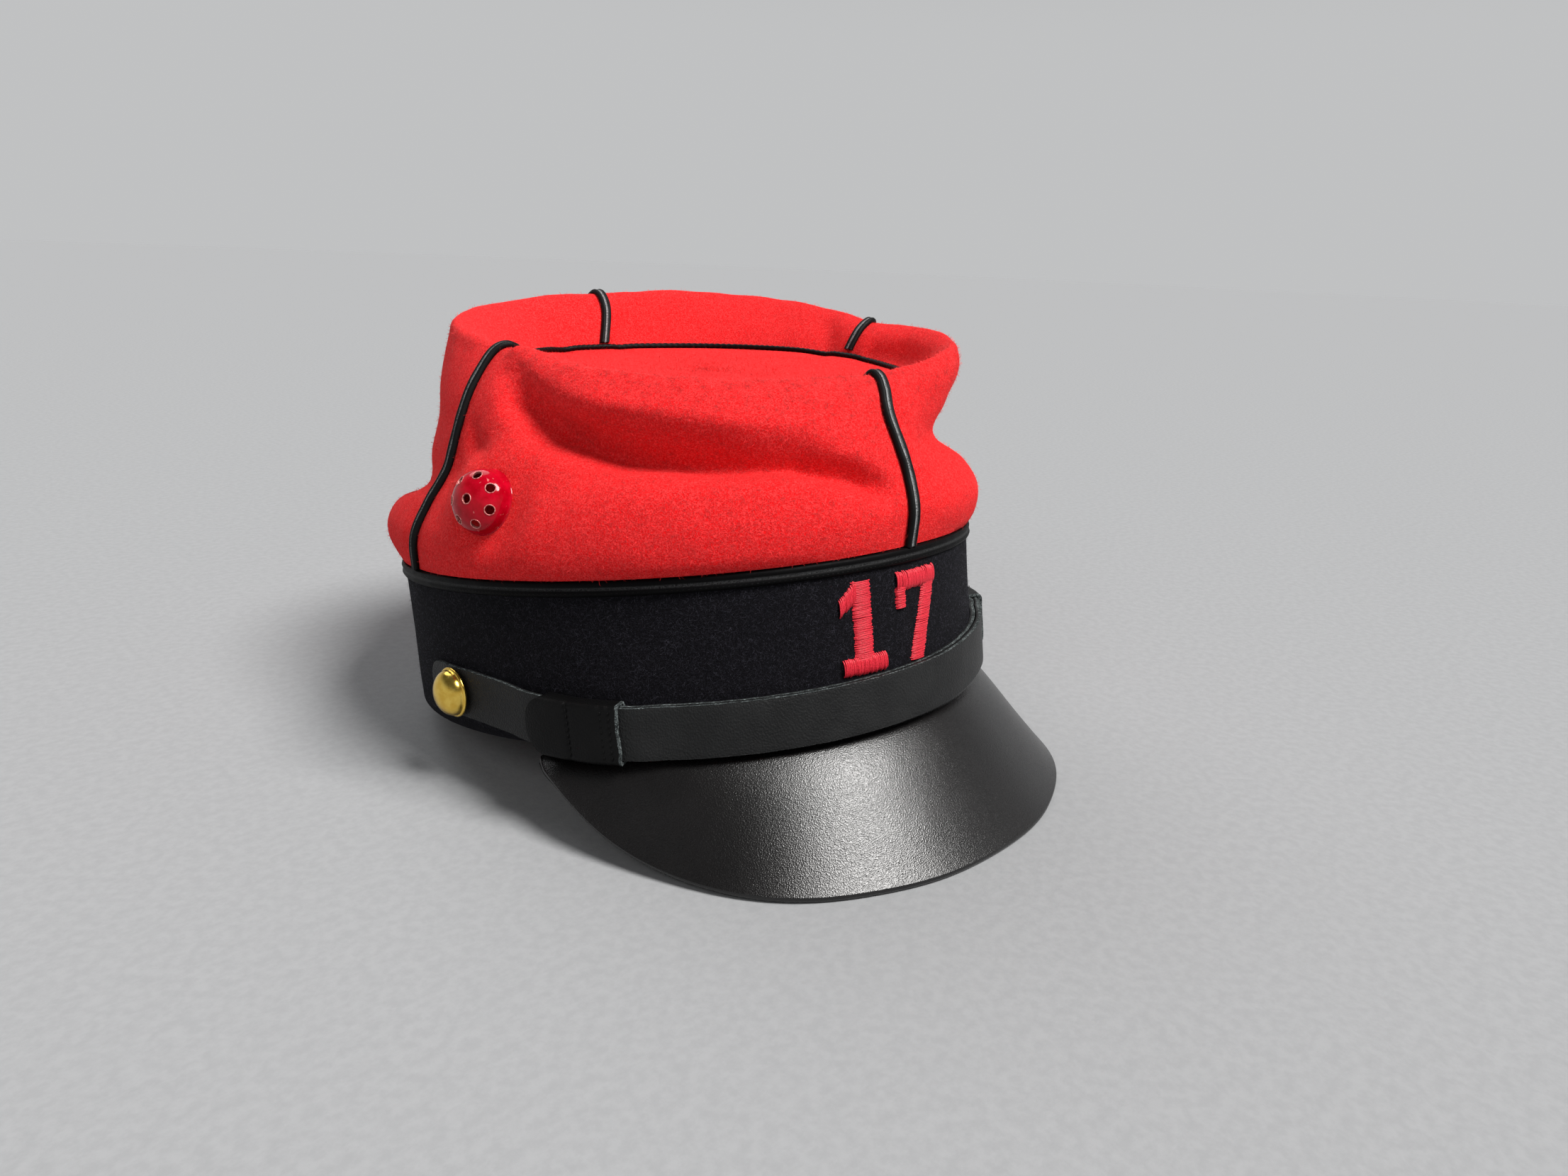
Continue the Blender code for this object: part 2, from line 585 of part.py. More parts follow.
def slide_ring(near, far, w, inner, outer, half):
    """A ring of a slide: its outer or inner section at a share w of its length."""
    line = []
    for off, rows in ((outer, SLIDE_ROWS), (inner, SLIDE_ROWS[::-1])):
        for row in rows:
            z = row * half
            # the far end is rounded at its corners
            over = max(abs(z) - (SLIDE_HEIGHT / 2 - SLIDE_CORNER), 0)
            cut = SLIDE_CORNER - sqrt(max(SLIDE_CORNER**2 - over**2, 0))
            back = min(cut, 3.6) * 0.72
            end = far + back if far < 0 else far - back
            a = near + (end - near) * w
            line.append(band_point(a, off, blend(STRAP_PATH, a)[0] + z))
    return line


def make_slides():
    hollow = GAP + SLIDE_BACK
    deep = hollow + 2 * STRAP_WALL + 3 * GAP
    shares = [k / SLIDE_STEPS for k in range(SLIDE_STEPS + 1)]
    for name, ends in SLIDES.items():
        outer = [slide_ring(*ends, w, GAP, deep + SLIDE_FRONT, SLIDE_HEIGHT / 2) for w in shares]
        inner = [slide_ring(*ends, w, hollow, deep, STRAP_HEIGHT / 2 + GAP) for w in shares]
        n, m = len(outer), len(outer[0])
        points = [p for ring in outer + inner for p in ring]
        faces = ring_faces(0, n * m, m) + ring_faces((n - 1) * m, (2 * n - 1) * m, m)
        for i in range(n - 1):
            faces += ring_faces(i * m, (i + 1) * m, m)
            faces += ring_faces((n + i) * m, (n + i + 1) * m, m)
        mesh_object(name, "strap_leather", points, faces, edge=45)


def frame_at(out):
    """Two directions across a surface whose outward direction is out."""
    side = Vector((0, 0, 1)).cross(out).normalized()
    return side, out.cross(side).normalized()


def turned(mid, out, rings):
    """Points of rings round an axis; each ring is a list of radius and height."""
    side, up = frame_at(out)
    points = []
    for ring in rings:
        for k, (r, h) in enumerate(ring):
            t = 2 * pi * k / len(ring)
            points.append(mid + side * (r * cos(t)) + up * (r * sin(t)) + out * h)
    return points


def make_buttons():
    n = BUTTON_TURNS
    last = len(BUTTON_RINGS) - 1
    for name, sign in (("button_right", -1), ("button_left", 1)):
        a = sign * BUTTON_ANGLE
        out = band_point(a, 1, 0) - band_point(a, 0, 0)
        mid = band_point(a, CLEAR + STRAP_WALL + 0.4, BUTTON_Z)
        points = turned(mid, out, [[ring] * n for ring in BUTTON_RINGS])
        points += [mid, mid + out * BUTTON_HEIGHT]
        faces = fan_faces(0, len(points) - 2, n) + fan_faces(last * n, len(points) - 1, n)
        for i in range(last):
            faces += ring_faces(i * n, (i + 1) * n, n)
        mesh_object(name, "brass", points, faces)


def felt_heights(key, seat, out, r):
    """How high the panel's facets stand round a circle about the vent's seat."""
    outer, _ = panel_grid(key)
    m = len(outer[0])
    quads = [(i * m + j, (i + 1) * m + j, (i + 1) * m + j + 1, i * m + j + 1)
             for i in range(len(outer) - 1) for j in range(m - 1)]
    tree = BVHTree.FromPolygons([p for row in outer for p in row], quads)
    above = 20
    return [above + (tree.ray_cast(p, -out)[0] - p).dot(out)
            for p in turned(seat, out, [[(r, above)] * VENT_TURNS])]


def make_drills(focus, out):
    """Cutters for the centre hole and the ring of holes, square to the dome."""
    side, up = frame_at(out)
    axes = [out]
    lean = radians(VENT_RING_TILT)
    for k in range(VENT_HOLES):
        t = 2 * pi * (k + 0.5) / VENT_HOLES
        axes.append(out * cos(lean) + (side * cos(t) + up * sin(t)) * sin(lean))
    points, faces = [], []
    for axis in axes:
        rings = turned(focus, axis, [[(VENT_HOLE_R, h)] * VENT_HOLE_SIDES for h in (4, 16)])
        bar, sides = loft([rings[:VENT_HOLE_SIDES], rings[VENT_HOLE_SIDES:]])
        faces += [tuple(i + len(points) for i in face) for face in sides]
        points += bar
    return mesh_object("vent_drills", "red_enamel", points, faces, smooth=False)


def make_vents():
    n = VENT_TURNS
    for name, key in (("vent_right", "fr"), ("vent_left", "fl")):
        seat = panel_point(key, VENT_S, VENT_V)
        out = Vector(VENT_AXIS[key]).normalized()
        foot = felt_heights(key, seat, out, VENT_R)
        inner_foot = felt_heights(key, seat, out, VENT_R - VENT_WALL)
        rim = max(foot + inner_foot) + VENT_SKIRT
        outside = [[(VENT_R, h + CLEAR + 0.05) for h in foot]]
        inside = [[(VENT_R - VENT_WALL, h + CLEAR + 0.05) for h in inner_foot]]
        for k, h in VENT_BOWS:
            high = rim + VENT_DOME * h
            outside.append([(VENT_R * k, high)] * n)
            inside.append([((VENT_R - VENT_WALL) * k, high - VENT_WALL * (1 - 0.9 * k * k))] * n)
        points = turned(seat, out, outside + inside)
        points += [seat + out * (rim + VENT_DOME), seat + out * (rim + VENT_DOME - VENT_WALL)]
        rows = len(outside)
        faces = ring_faces(0, rows * n, n)
        for start, tip in ((0, len(points) - 2), (rows * n, len(points) - 1)):
            for i in range(rows - 1):
                faces += ring_faces(start + i * n, start + (i + 1) * n, n)
            faces += fan_faces(start + (rows - 1) * n, tip, n)
        body = mesh_object(name, "red_enamel", points, faces, edge=45)
        drill_out(body, make_drills(seat + out * (rim - VENT_FOCUS), out))


def drill_out(body, tool):
    """Cut the tool's shape out of a body and clear the tool away."""
    cut = body.modifiers.new("holes", "BOOLEAN")
    cut.solver = "EXACT"
    cut.object = tool
    graph = bpy.context.evaluated_depsgraph_get()
    solid = body.data
    body.data = bpy.data.meshes.new_from_object(body.evaluated_get(graph))
    body.modifiers.clear()
    body.data.materials.clear()
    body.data.materials.append(solid.materials[0])
    bpy.data.materials.remove(tool.data.materials[0])
    for spare in (solid, tool.data):
        bpy.data.meshes.remove(spare)


# Outlines of the raised digits as touching quads: side and height, from the digit's middle
ONE = (
    ((-6.8, 0.0), (-2.6, 0.0), (-2.6, 4.2), (-6.8, 4.2)),
    ((-2.6, 0.0), (2.6, 0.0), (2.6, 4.2), (-2.6, 4.2)),
    ((2.6, 0.0), (6.8, 0.0), (6.8, 4.2), (2.6, 4.2)),
    ((-2.6, 4.2), (2.6, 4.2), (2.6, 12.0), (-2.6, 12.0)),
    ((-2.6, 12.0), (2.6, 12.0), (2.6, 19.6), (-2.6, 19.6)),
    ((-2.6, 19.6), (2.6, 19.6), (2.6, 25.0), (-2.6, 25.0)),
    ((-7.0, 16.8), (-2.6, 19.6), (-2.6, 25.0), (-7.0, 21.0)),
)
SEVEN = (
    ((-8.0, 15.6), (-4.8, 15.6), (-4.8, 20.6), (-8.0, 20.6)),
    ((-8.0, 20.6), (-4.8, 20.6), (-4.8, 25.0), (-8.0, 25.0)),
    ((-4.8, 20.6), (0.0, 20.6), (0.0, 25.0), (-4.8, 25.0)),
    ((0.0, 20.6), (3.0, 20.6), (3.0, 25.0), (0.0, 25.0)),
    ((3.0, 20.6), (8.0, 20.6), (8.0, 25.0), (3.0, 25.0)),
    ((0.0, 13.0), (4.9, 13.0), (8.0, 20.6), (3.0, 20.6)),
    ((-2.4, 6.0), (2.6, 6.0), (4.9, 13.0), (0.0, 13.0)),
    ((-3.6, 0.0), (1.7, 0.0), (2.6, 6.0), (-2.4, 6.0)),
)


def angle_at(arc):
    """Angle round the band at a distance along it from the front."""
    left, a, step = abs(arc), 0.0, 0.25
    more = (band_point(step, 0, 0) - band_point(0, 0, 0)).length
    while left > more:
        left -= more
        a += step
        more = (band_point(a + step, 0, 0) - band_point(a, 0, 0)).length
    a += step * left / more
    return a if arc >= 0 else -a


def make_digits():
    for name, quads, mid in (("number_first", ONE, DIGIT_X[0]),
                             ("number_second", SEVEN, DIGIT_X[1])):
        marks = []
        for quad in quads:
            for p in quad:
                if p not in marks:
                    marks.append(p)
        low, high = [], []
        for x, z in marks:
            a = angle_at(mid + x)
            low.append(band_point(a, CLEAR, DIGIT_FOOT_Z + z))
            high.append(band_point(a, CLEAR + DIGIT_THICK, DIGIT_FOOT_Z + z))
        n = len(marks)
        faces, edges = [], []
        for quad in quads:
            ids = [marks.index(p) for p in quad]
            faces.append(tuple(n + i for i in ids))
            faces.append(tuple(reversed(ids)))
            edges += zip(ids, ids[1:] + ids[:1])
        for i, j in edges:
            if (j, i) not in edges:
                faces.append((i, j, n + j, n + i))
        mesh_object(name, "red_thread", low + high, faces, smooth=False)


# Every piece hangs on one empty at the middle of the band's lower edge
cap = bpy.data.objects.new("cap_frame", None)
bpy.context.scene.collection.objects.link(cap)

make_band()
make_panels()
make_disc()
make_seam_braids()
make_base_braid()
make_peak()
make_straps()
make_slides()
make_buttons()
make_vents()
make_digits()

# Stand the cap on z = 0 with the middle of its outline over the origin
lean = Matrix.Rotation(-radians(LEAN), 3, "X")
corners = [lean @ v.co for piece in cap.children for v in piece.data.vertices]
least = [min(c[i] for c in corners) for i in range(3)]
most = [max(c[i] for c in corners) for i in range(3)]
cap.rotation_euler = (-radians(LEAN), 0.0, 0.0)
cap.location = (-(least[0] + most[0]) / 2, -(least[1] + most[1]) / 2, -least[2])
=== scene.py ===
"""The looks of a kepi cap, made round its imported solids: felt crown, cloth band, braids,
leather peak and chin straps, brass buttons, enamelled vents and a stitched number.

Shapes are worked out in the cap's own frame (millimetres, upright, the peak towards -Y) and
stood on the floor by stand(), which leans them back as the solids lean."""

from math import cos, pi, radians, sin

import bmesh
import bpy
import numpy as np
from mathutils import Matrix, Vector, noise
from mathutils.bvhtree import BVHTree


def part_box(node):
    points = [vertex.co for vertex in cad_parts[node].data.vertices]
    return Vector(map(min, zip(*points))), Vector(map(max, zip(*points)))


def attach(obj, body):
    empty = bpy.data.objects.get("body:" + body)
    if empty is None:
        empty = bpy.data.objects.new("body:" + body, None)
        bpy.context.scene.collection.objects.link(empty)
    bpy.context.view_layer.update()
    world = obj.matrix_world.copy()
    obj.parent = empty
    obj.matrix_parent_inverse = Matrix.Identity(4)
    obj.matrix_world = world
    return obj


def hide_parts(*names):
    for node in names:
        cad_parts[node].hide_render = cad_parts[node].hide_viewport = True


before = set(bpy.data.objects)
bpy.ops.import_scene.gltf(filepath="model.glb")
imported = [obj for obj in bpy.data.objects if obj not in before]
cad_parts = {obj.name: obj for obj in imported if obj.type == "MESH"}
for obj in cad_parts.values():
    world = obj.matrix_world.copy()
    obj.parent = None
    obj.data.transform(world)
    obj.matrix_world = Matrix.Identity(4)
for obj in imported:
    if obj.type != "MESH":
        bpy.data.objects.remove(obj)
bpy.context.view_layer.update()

# Driving sizes of the solids, in millimetres and degrees
MM = 0.001
GAP = 0.3
BAND_A, BAND_B = 100.0, 87.0
BAND_WALL, BAND_HEIGHT = 2.5, 45.8
LEAN = radians(9.58)
PANEL_WALL = 2.0
PANEL_ARC, PANEL_RISE = 140.0, 95.0
SEAM_FLAT = 2.6
CREASE_FADE = 9.0
DISC_AT = 0.97
DISC_WALL, DISC_SAG = 2.0, 1.2
BRAID_HALF, BRAID_RIB = 2.0, 1.6
BASE_BRAID_Z = 43.8
PIPING_R = 1.0
PEAK_WALL = 2.4
PEAK_SPAN = 71.0
PEAK_ROOT = -2.5
STRAP_WALL, STRAP_HEIGHT, STRAP_ROUND = 1.6, 14.3, 5.5
STRAP_LIFT, STRAP_LEAD = 1.2, 7.0
SLIDE_HEIGHT, SLIDE_ROUND = 16.6, 8.0
SLIDE_BACK, SLIDE_FRONT = 0.9, 1.2
SLIDE_LOW = GAP + SLIDE_BACK
SLIDE_HIGH = SLIDE_LOW + 2 * STRAP_WALL + 3 * GAP
BUTTON_ANGLE, BUTTON_Z = 89.0, 12.3
VENT_S, VENT_V = 0.207, 0.226
VENT_AXIS = {"fr": (-0.90, -0.36, 0.24), "fl": (0.90, -0.36, 0.24)}
VENT_DRAW, VENT_REACH = 0.7, 21.0
VENT_R, VENT_DOME, VENT_WALL = 8.8, 6.0, 0.7
VENT_HOLES, VENT_HOLE_R, VENT_RING_TILT = 7, 1.35, 47.0
VENT_FOCUS = 2.5
DIGIT_FOOT_Z = 14.2
DIGIT_X = (-18.6, 1.6)

# Sizes that only the looks have
FELT_SEED = 3
SEAM_SINK = 1.1
BRAID_STEP = 0.31
BASE_BRAID_HALF, BASE_BRAID_RIB = 2.1, 1.0
BASE_BRAID_RUN = 292.5
PIPING_TURNS = 90
PEAK_SHARE, PEAK_CORNER = 0.975, 0.04
PEAK_BULGE, PEAK_SHOULDER = 1.7, 0.5
PEAK_SMOOTHING = 70
BUTTON_DOME = 4.6
VENT_STEP, VENT_FLARE = 0.9, 0.5
WORN_RIM_R = 0.16
DRILL_FROM, DRILL_TO = 4.0, 14.0
DROP_FROM = 20.0
THREAD_PITCH, THREAD_R = 0.31, 0.2
UP = np.array((0.0, 0.0, 1.0))

# Rings of the crown, as in the solids: middle, half length, half width, twist, how far back
# the side seams sit, how far the front seam leads to the wearer's left, and the heights at
# the front, right, back and left seam
RINGS = (
    #  v     cx    cy     A      B    twist side lead  front  right  back   left
    (0.00,  0.0,  0.0,  99.8, 86.8,  0.0, 12.0, 0.0,  46.2,  46.2,  46.2,  46.2),
    (0.10,  1.0,  1.0, 102.8, 88.0,  0.5,  8.6, 0.0,  56.0,  56.0,  57.0,  57.0),
    (0.20,  2.5,  1.5, 101.5, 85.5,  1.2,  6.0, 0.4,  65.0,  65.0,  67.0,  66.0),
    (0.31,  3.3,  1.0,  99.0, 80.5,  2.5,  3.2, 1.0,  73.0,  75.0,  79.0,  76.0),
    (0.43,  4.8,  1.0,  96.0, 78.5,  4.5,  0.4, 2.0,  82.0,  86.0,  95.0,  87.0),
    (0.56,  8.3, -0.5,  91.5, 77.5,  6.5, -1.0, 3.4,  88.3,  97.0, 110.0,  99.0),
    (0.70, 11.6, -4.0,  85.5, 74.5,  8.5, -1.6, 3.8,  92.0, 106.5, 125.5, 108.5),
    (0.80, 12.5, -7.5,  79.5, 71.0,  9.5, -1.2, 3.4,  92.8, 109.3, 132.6, 112.6),
    (0.88, 12.0, -9.0,  74.5, 65.0,  9.5,  0.0, 2.0,  90.0, 107.0, 125.5, 109.0),
    (0.97, 11.3, -9.7,  70.5, 60.5,  6.0,  0.0, 0.0,  88.0, 102.0, 111.0, 100.6),
    (1.00, 11.3, -9.7,  70.5, 60.5,  6.0,  0.0, 0.0,  86.4,  99.8, 108.8,  98.4),
)
# How far each panel swells between its seams: outward, then upward
LOBES = (
    # v    out: fr  fl    br    bl   up: fr  fl   br   bl
    (0.00,  1.7,  1.5,  1.2,  1.2,  0.0, 0.0, 0.0, 0.0),
    (0.03,  3.5,  3.0,  3.2,  3.0,  0.0, 0.0, 0.0, 0.0),
    (0.10,  3.9,  3.2,  4.3,  4.0,  0.0, 0.0, 0.0, 0.0),
    (0.20,  5.0,  0.0,  3.0,  2.5,  0.0, 0.0, 0.0, 0.0),
    (0.31,  3.5, -4.5, -2.0, -2.0,  0.0, 0.0, 0.0, 0.0),
    (0.43,  2.0,  0.5, -4.5, -1.5,  0.0, 0.0, 0.0, 0.0),
    (0.56,  3.0,  5.0, -0.5,  3.0,  0.0, 1.0, 0.0, 0.0),
    (0.70,  3.0,  5.5,  4.5,  6.0,  0.0, 2.0, 1.0, 1.5),
    (0.80,  3.0,  5.0,  8.5,  6.0,  0.0, 3.0, 1.5, 2.0),
    (0.88,  2.0,  4.0,  6.0,  5.0,  0.0, 2.0, 1.0, 1.5),
    (0.97,  0.0,  0.0,  0.0,  0.0,  0.0, 0.0, 0.0, 0.0),
    (1.00,  0.0,  0.0,  0.0,  0.0,  0.0, 0.0, 0.0, 0.0),
)
# Creases pressed into a panel, as lines of s, v, depth and width: s runs from the side seam
# (0) to the front or back seam (1). A negative depth is a ridge.
CREASES = {
    "fr": (((0.13, 0.66, 2.0, 4.5), (0.18, 0.57, 7.0, 6.0), (0.28, 0.47, 9.5, 7.0),
            (0.42, 0.40, 9.5, 7.0), (0.58, 0.355, 8.0, 6.5), (0.76, 0.32, 6.0, 5.5),
            (0.90, 0.21, 4.0, 4.0), (0.97, 0.15, 1.0, 3.5)),
           ((0.07, 0.80, -2.5, 6.0), (0.15, 0.86, -2.5, 7.0), (0.24, 0.90, -1.0, 7.0)),
           # finer than the solids: the fold's sharp foot, and a short fold over the vent
           ((0.09, 0.65, 0.8, 3.5), (0.147, 0.547, 2.0, 3.5), (0.225, 0.473, 2.9, 3.5),
            (0.30, 0.43, 3.2, 3.5), (0.378, 0.397, 3.0, 3.5), (0.475, 0.367, 2.9, 3.5),
            (0.61, 0.343, 2.9, 3.4), (0.693, 0.32, 2.9, 3.2), (0.78, 0.303, 2.9, 3.0),
            (0.868, 0.253, 2.7, 2.8), (0.922, 0.187, 2.0, 2.6), (0.95, 0.14, 0.6, 2.4)),
           ((0.02, 0.47, 0.8, 3.0), (0.06, 0.42, 2.0, 3.2), (0.11, 0.375, 1.8, 3.2),
            (0.16, 0.33, 0.5, 3.0)),
           ((0.34, 0.55, -0.8, 6.0), (0.50, 0.49, -1.0, 6.0), (0.66, 0.44, -1.0, 6.0),
            (0.82, 0.40, -0.6, 6.0))),
    "fl": (((0.12, 0.46, 1.0, 6.0), (0.34, 0.40, 3.5, 7.0), (0.62, 0.33, 3.0, 7.0),
            (0.88, 0.30, 1.0, 6.0)),
           ((0.10, 0.95, 1.5, 4.0), (0.23, 0.935, 3.2, 4.5), (0.36, 0.93, 2.6, 4.5),
            (0.50, 0.93, 0.8, 4.0))),
    "br": (((0.06, 0.30, 1.5, 4.0), (0.25, 0.27, 5.0, 5.0), (0.50, 0.26, 6.0, 5.5),
            (0.80, 0.28, 5.0, 6.0), (0.94, 0.34, 1.0, 5.0)),
           ((0.70, 0.86, 0.6, 5.0), (0.76, 0.92, 1.4, 5.0), (0.80, 0.96, 1.0, 5.0))),
    "bl": (((0.12, 0.40, 1.5, 6.0), (0.40, 0.36, 5.5, 8.0), (0.70, 0.42, 5.0, 8.0),
            (0.92, 0.52, 1.0, 6.0)),
           ((0.86, 0.87, 0.8, 4.0), (0.91, 0.91, 2.0, 4.0), (0.95, 0.95, 1.4, 4.0)),
           ((0.21, 0.86, 0.8, 5.0), (0.16, 0.90, 2.0, 5.0), (0.10, 0.95, 1.6, 5.0))),
}
PANELS = {
    "fr": (-90.0, 0.0, "crown_front_right"),
    "fl": (90.0, 0.0, "crown_front_left"),
    "br": (-90.0, -180.0, "crown_back_right"),
    "bl": (90.0, 180.0, "crown_back_left"),
}
PANEL_KEYS = ("fr", "fl", "br", "bl")
# Edge of the peak from its front tip to its corner, in the resting frame: side, front, up
PEAK_EDGE = (
    (0.0, -130.6, 1.4), (22.6, -128.6, 1.4), (41.0, -121.8, 1.4), (56.5, -113.4, 1.4),
    (67.8, -101.6, 1.6), (75.6, -87.0, 2.2), (80.2, -74.5, 4.0), (83.6, -64.5, 7.3),
    (85.6, -56.0, 11.6), (86.4, -47.5, 15.8), (86.0, -39.5, 19.0), (84.9, -31.5, 21.2),
)
# Height of the middle of the chin straps at angles round the band, wearer's right to left
STRAP_PATH = ((-98.0, 12.7), (-89.0, 12.3), (-83.0, 11.7), (-77.0, 10.4), (-69.0, 8.2),
              (-60.0, 6.3), (-50.0, 5.5), (-30.0, 5.5), (-15.0, 5.9), (0.0, 6.5), (10.0, 7.2),
              (20.0, 8.2), (32.0, 9.1), (46.0, 9.9), (62.0, 10.8), (76.0, 11.6), (89.0, 12.3),
              (98.0, 12.7))
# Angles between which each slide lies, from the front
SLIDES = {"slide_right": (-54.0, -69.0), "slide_left": (45.0, 60.0)}

# The band's middle in the row frame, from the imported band
Y0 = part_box("band")[1].y / MM - BAND_A * cos(LEAN) - BAND_HEIGHT * sin(LEAN)
Z0 = BAND_A * sin(LEAN)


def stand(p):
    """Points of the cap's own frame, in mm, leaned back and set on the floor, in m."""
    p = np.asarray(p, float)
    x, y, z = p[..., 0], p[..., 1], p[..., 2]
    lean = (x, y * cos(LEAN) + z * sin(LEAN) + Y0, z * cos(LEAN) - y * sin(LEAN) + Z0)
    return np.stack(lean, -1) * MM


def ramp(x, a, b):
    """A smooth rise from 0 at a to 1 at b."""
    t = np.clip((x - a) / (b - a), 0, 1)
    return t * t * (3 - 2 * t)


def unit(v):
    """Vectors brought to length 1."""
    return v / np.maximum(np.linalg.norm(v, axis=-1, keepdims=True), 1e-12)


def circle(count):
    """Angles once round, in even steps."""
    return np.linspace(0, 2 * pi, count, endpoint=False)


def run_along(path, closed=False):
    """Distance along a path at each of its points, and once more at the end of a closed one."""
    ends = np.concatenate((path, path[:1])) if closed else path
    return np.concatenate(([0], np.cumsum(np.linalg.norm(np.diff(ends, axis=0), axis=1))))


def curve(rows, x):
    """Columns of a table at x: a smooth curve through every row."""
    table = np.array(rows, float)
    xs, ys = table[:, 0], table[:, 1:]
    slopes = np.empty_like(ys)
    slopes[1:-1] = (ys[2:] - ys[:-2]) / (xs[2:] - xs[:-2])[:, None]
    slopes[0] = (ys[1] - ys[0]) / (xs[1] - xs[0])
    slopes[-1] = (ys[-1] - ys[-2]) / (xs[-1] - xs[-2])
    x = np.asarray(x, float)
    k = np.clip(np.searchsorted(xs, x, side="right") - 1, 0, len(xs) - 2)
    h = xs[k + 1] - xs[k]
    t = np.clip((x - xs[k]) / h, 0, 1)[..., None]
    h = h[..., None]
    return ((2 * t**3 - 3 * t**2 + 1) * ys[k] + (t**3 - 2 * t**2 + t) * slopes[k] * h
            + (3 * t**2 - 2 * t**3) * ys[k + 1] + (t**3 - t**2) * slopes[k + 1] * h)


def panel_base(key, s, v):
    """The outer face of a panel before its creases are pressed in."""
    side, end, _ = PANELS[key]
    th = np.radians(side + (end - side) * s)
    row = np.moveaxis(curve(RINGS, v), -1, 0)
    cx, cy, half_a, half_b, twist, seat, lead, front, right, back, left = row
    u = th + np.radians(seat) * np.sin(th) + np.radians(lead) * (1 + np.cos(th)) / 2
    x, y = half_b * np.sin(u), -half_a * np.cos(u)
    nx, ny = half_a * np.sin(u), -half_b * np.cos(u)
    n = np.hypot(nx, ny)
    c, d = np.cos(np.radians(twist)), np.sin(np.radians(twist))
    z = ((front + right + back + left) / 4 + (front - back) / 2 * np.cos(th)
         + (left - right) / 2 * np.sin(th)
         + (front + back - left - right) / 4 * np.cos(2 * th))
    p = np.stack((cx + x * c + y * d, cy - x * d + y * c, z), -1)
    out = np.stack(((nx * c + ny * d) / n, (-nx * d + ny * c) / n, 0 * n), -1)
    lobe = curve(LOBES, v)
    i = PANEL_KEYS.index(key)
    e = SEAM_FLAT / PANEL_ARC
    w = np.sin(pi * np.clip((s - e) / (1 - 2 * e), 0, 1)) ** 0.8
    p = p + out * (lobe[..., i] * w)[..., None]
    p[..., 2] += lobe[..., 4 + i] * w
    return p


def facing(fn, key, s, v, d=0.002):
    """Outward unit normals of a panel function, by differences."""
    a = fn(key, np.minimum(s + d, 1), v) - fn(key, np.maximum(s - d, 0), v)
    b = fn(key, s, np.minimum(v + d, 1)) - fn(key, s, np.maximum(v - d, 0))
    n = unit(np.cross(a, b))
    return -n if key in ("fl", "br") else n


def crease_depth(key, s, v):
    """How deep a panel's creases are at (s, v)."""
    x, y = s * PANEL_ARC, v * PANEL_RISE
    total = 0 * x
    for rows in CREASES[key]:
        best = 0 * x
        for a, b in zip(rows[:-1], rows[1:]):
            ax, ay = a[0] * PANEL_ARC, a[1] * PANEL_RISE
            dx, dy = b[0] * PANEL_ARC - ax, b[1] * PANEL_RISE - ay
            t = np.clip(((x - ax) * dx + (y - ay) * dy) / (dx * dx + dy * dy), 0, 1)
            off = np.hypot(x - ax - t * dx, y - ay - t * dy)
            deep, wide = a[2] + (b[2] - a[2]) * t, a[3] + (b[3] - a[3]) * t
            cut = deep * np.exp(-(off / wide) ** 2)
            best = np.where(abs(cut) > abs(best), cut, best)
        total = total + best
    edge = np.minimum(s, 1 - s) * PANEL_ARC
    return total * ramp(edge, SEAM_FLAT, SEAM_FLAT + CREASE_FADE)


def creased_point(key, s, v):
    """The outer face of a panel with its creases pressed in."""
    s, v = np.broadcast_arrays(np.asarray(s, float), np.asarray(v, float))
    p = panel_base(key, s, v)
    return p - facing(panel_base, key, s, v) * crease_depth(key, s, v)[..., None]


def panel_point(key, s, v):
    """The outer face of a panel, which a front panel's vent draws towards its own plane."""
    p = creased_point(key, s, v)
    if key not in VENT_AXIS:
        return p
    out = unit(np.array(VENT_AXIS[key]))
    arm = p - creased_point(key, VENT_S, VENT_V)
    high = (arm * out).sum(-1)
    away = np.linalg.norm(arm - high[..., None] * out, axis=-1)
    return p - out * (high * VENT_DRAW * (1 - ramp(away, VENT_R, VENT_REACH)))[..., None]


def rough(points, size, seed):
    """Smooth random heights from -1 to 1 over points, with lumps of a given size."""
    shift = Vector((seed * 7.31, seed * 3.17, seed * 5.71))
    flat = points.reshape(-1, 3) / size
    out = np.array([noise.noise(Vector(p) + shift) for p in flat])
    return out.reshape(points.shape[:-1])


def band_out(angle):
    """Outward unit normals round the band."""
    u = np.radians(np.asarray(angle, float))
    return unit(np.stack((BAND_A * np.sin(u), -BAND_B * np.cos(u), 0 * u), -1))


def band_point(angle, off, z):
    """Points standing off the band's outer face by off."""
    angle, off, z = np.broadcast_arrays(*(np.asarray(a, float) for a in (angle, off, z)))
    u = np.radians(angle)
    p = np.stack((BAND_B * np.sin(u), -BAND_A * np.cos(u), z), -1)
    return p + band_out(angle) * off[..., None]


def angle_at(arc):
    """Angles round the band at distances along it from the front."""
    angles = np.linspace(-180, 180, 1441)
    run = run_along(band_point(angles, 0, 0))
    return np.interp(arc, run - run[len(run) // 2], angles)


def grid_faces(n, m, start=0, around=False, along=False):
    """Faces of a grid of n lines of m points, closed round each line or along the lines."""
    i, j = np.meshgrid(np.arange(n if along else n - 1), np.arange(m if around else m - 1),
                       indexing="ij")
    a, b = i * m + j, i * m + (j + 1) % m
    c, d = (i + 1) % n * m + (j + 1) % m, (i + 1) % n * m + j
    return np.stack((a, b, c, d), -1).reshape(-1, 4) + start


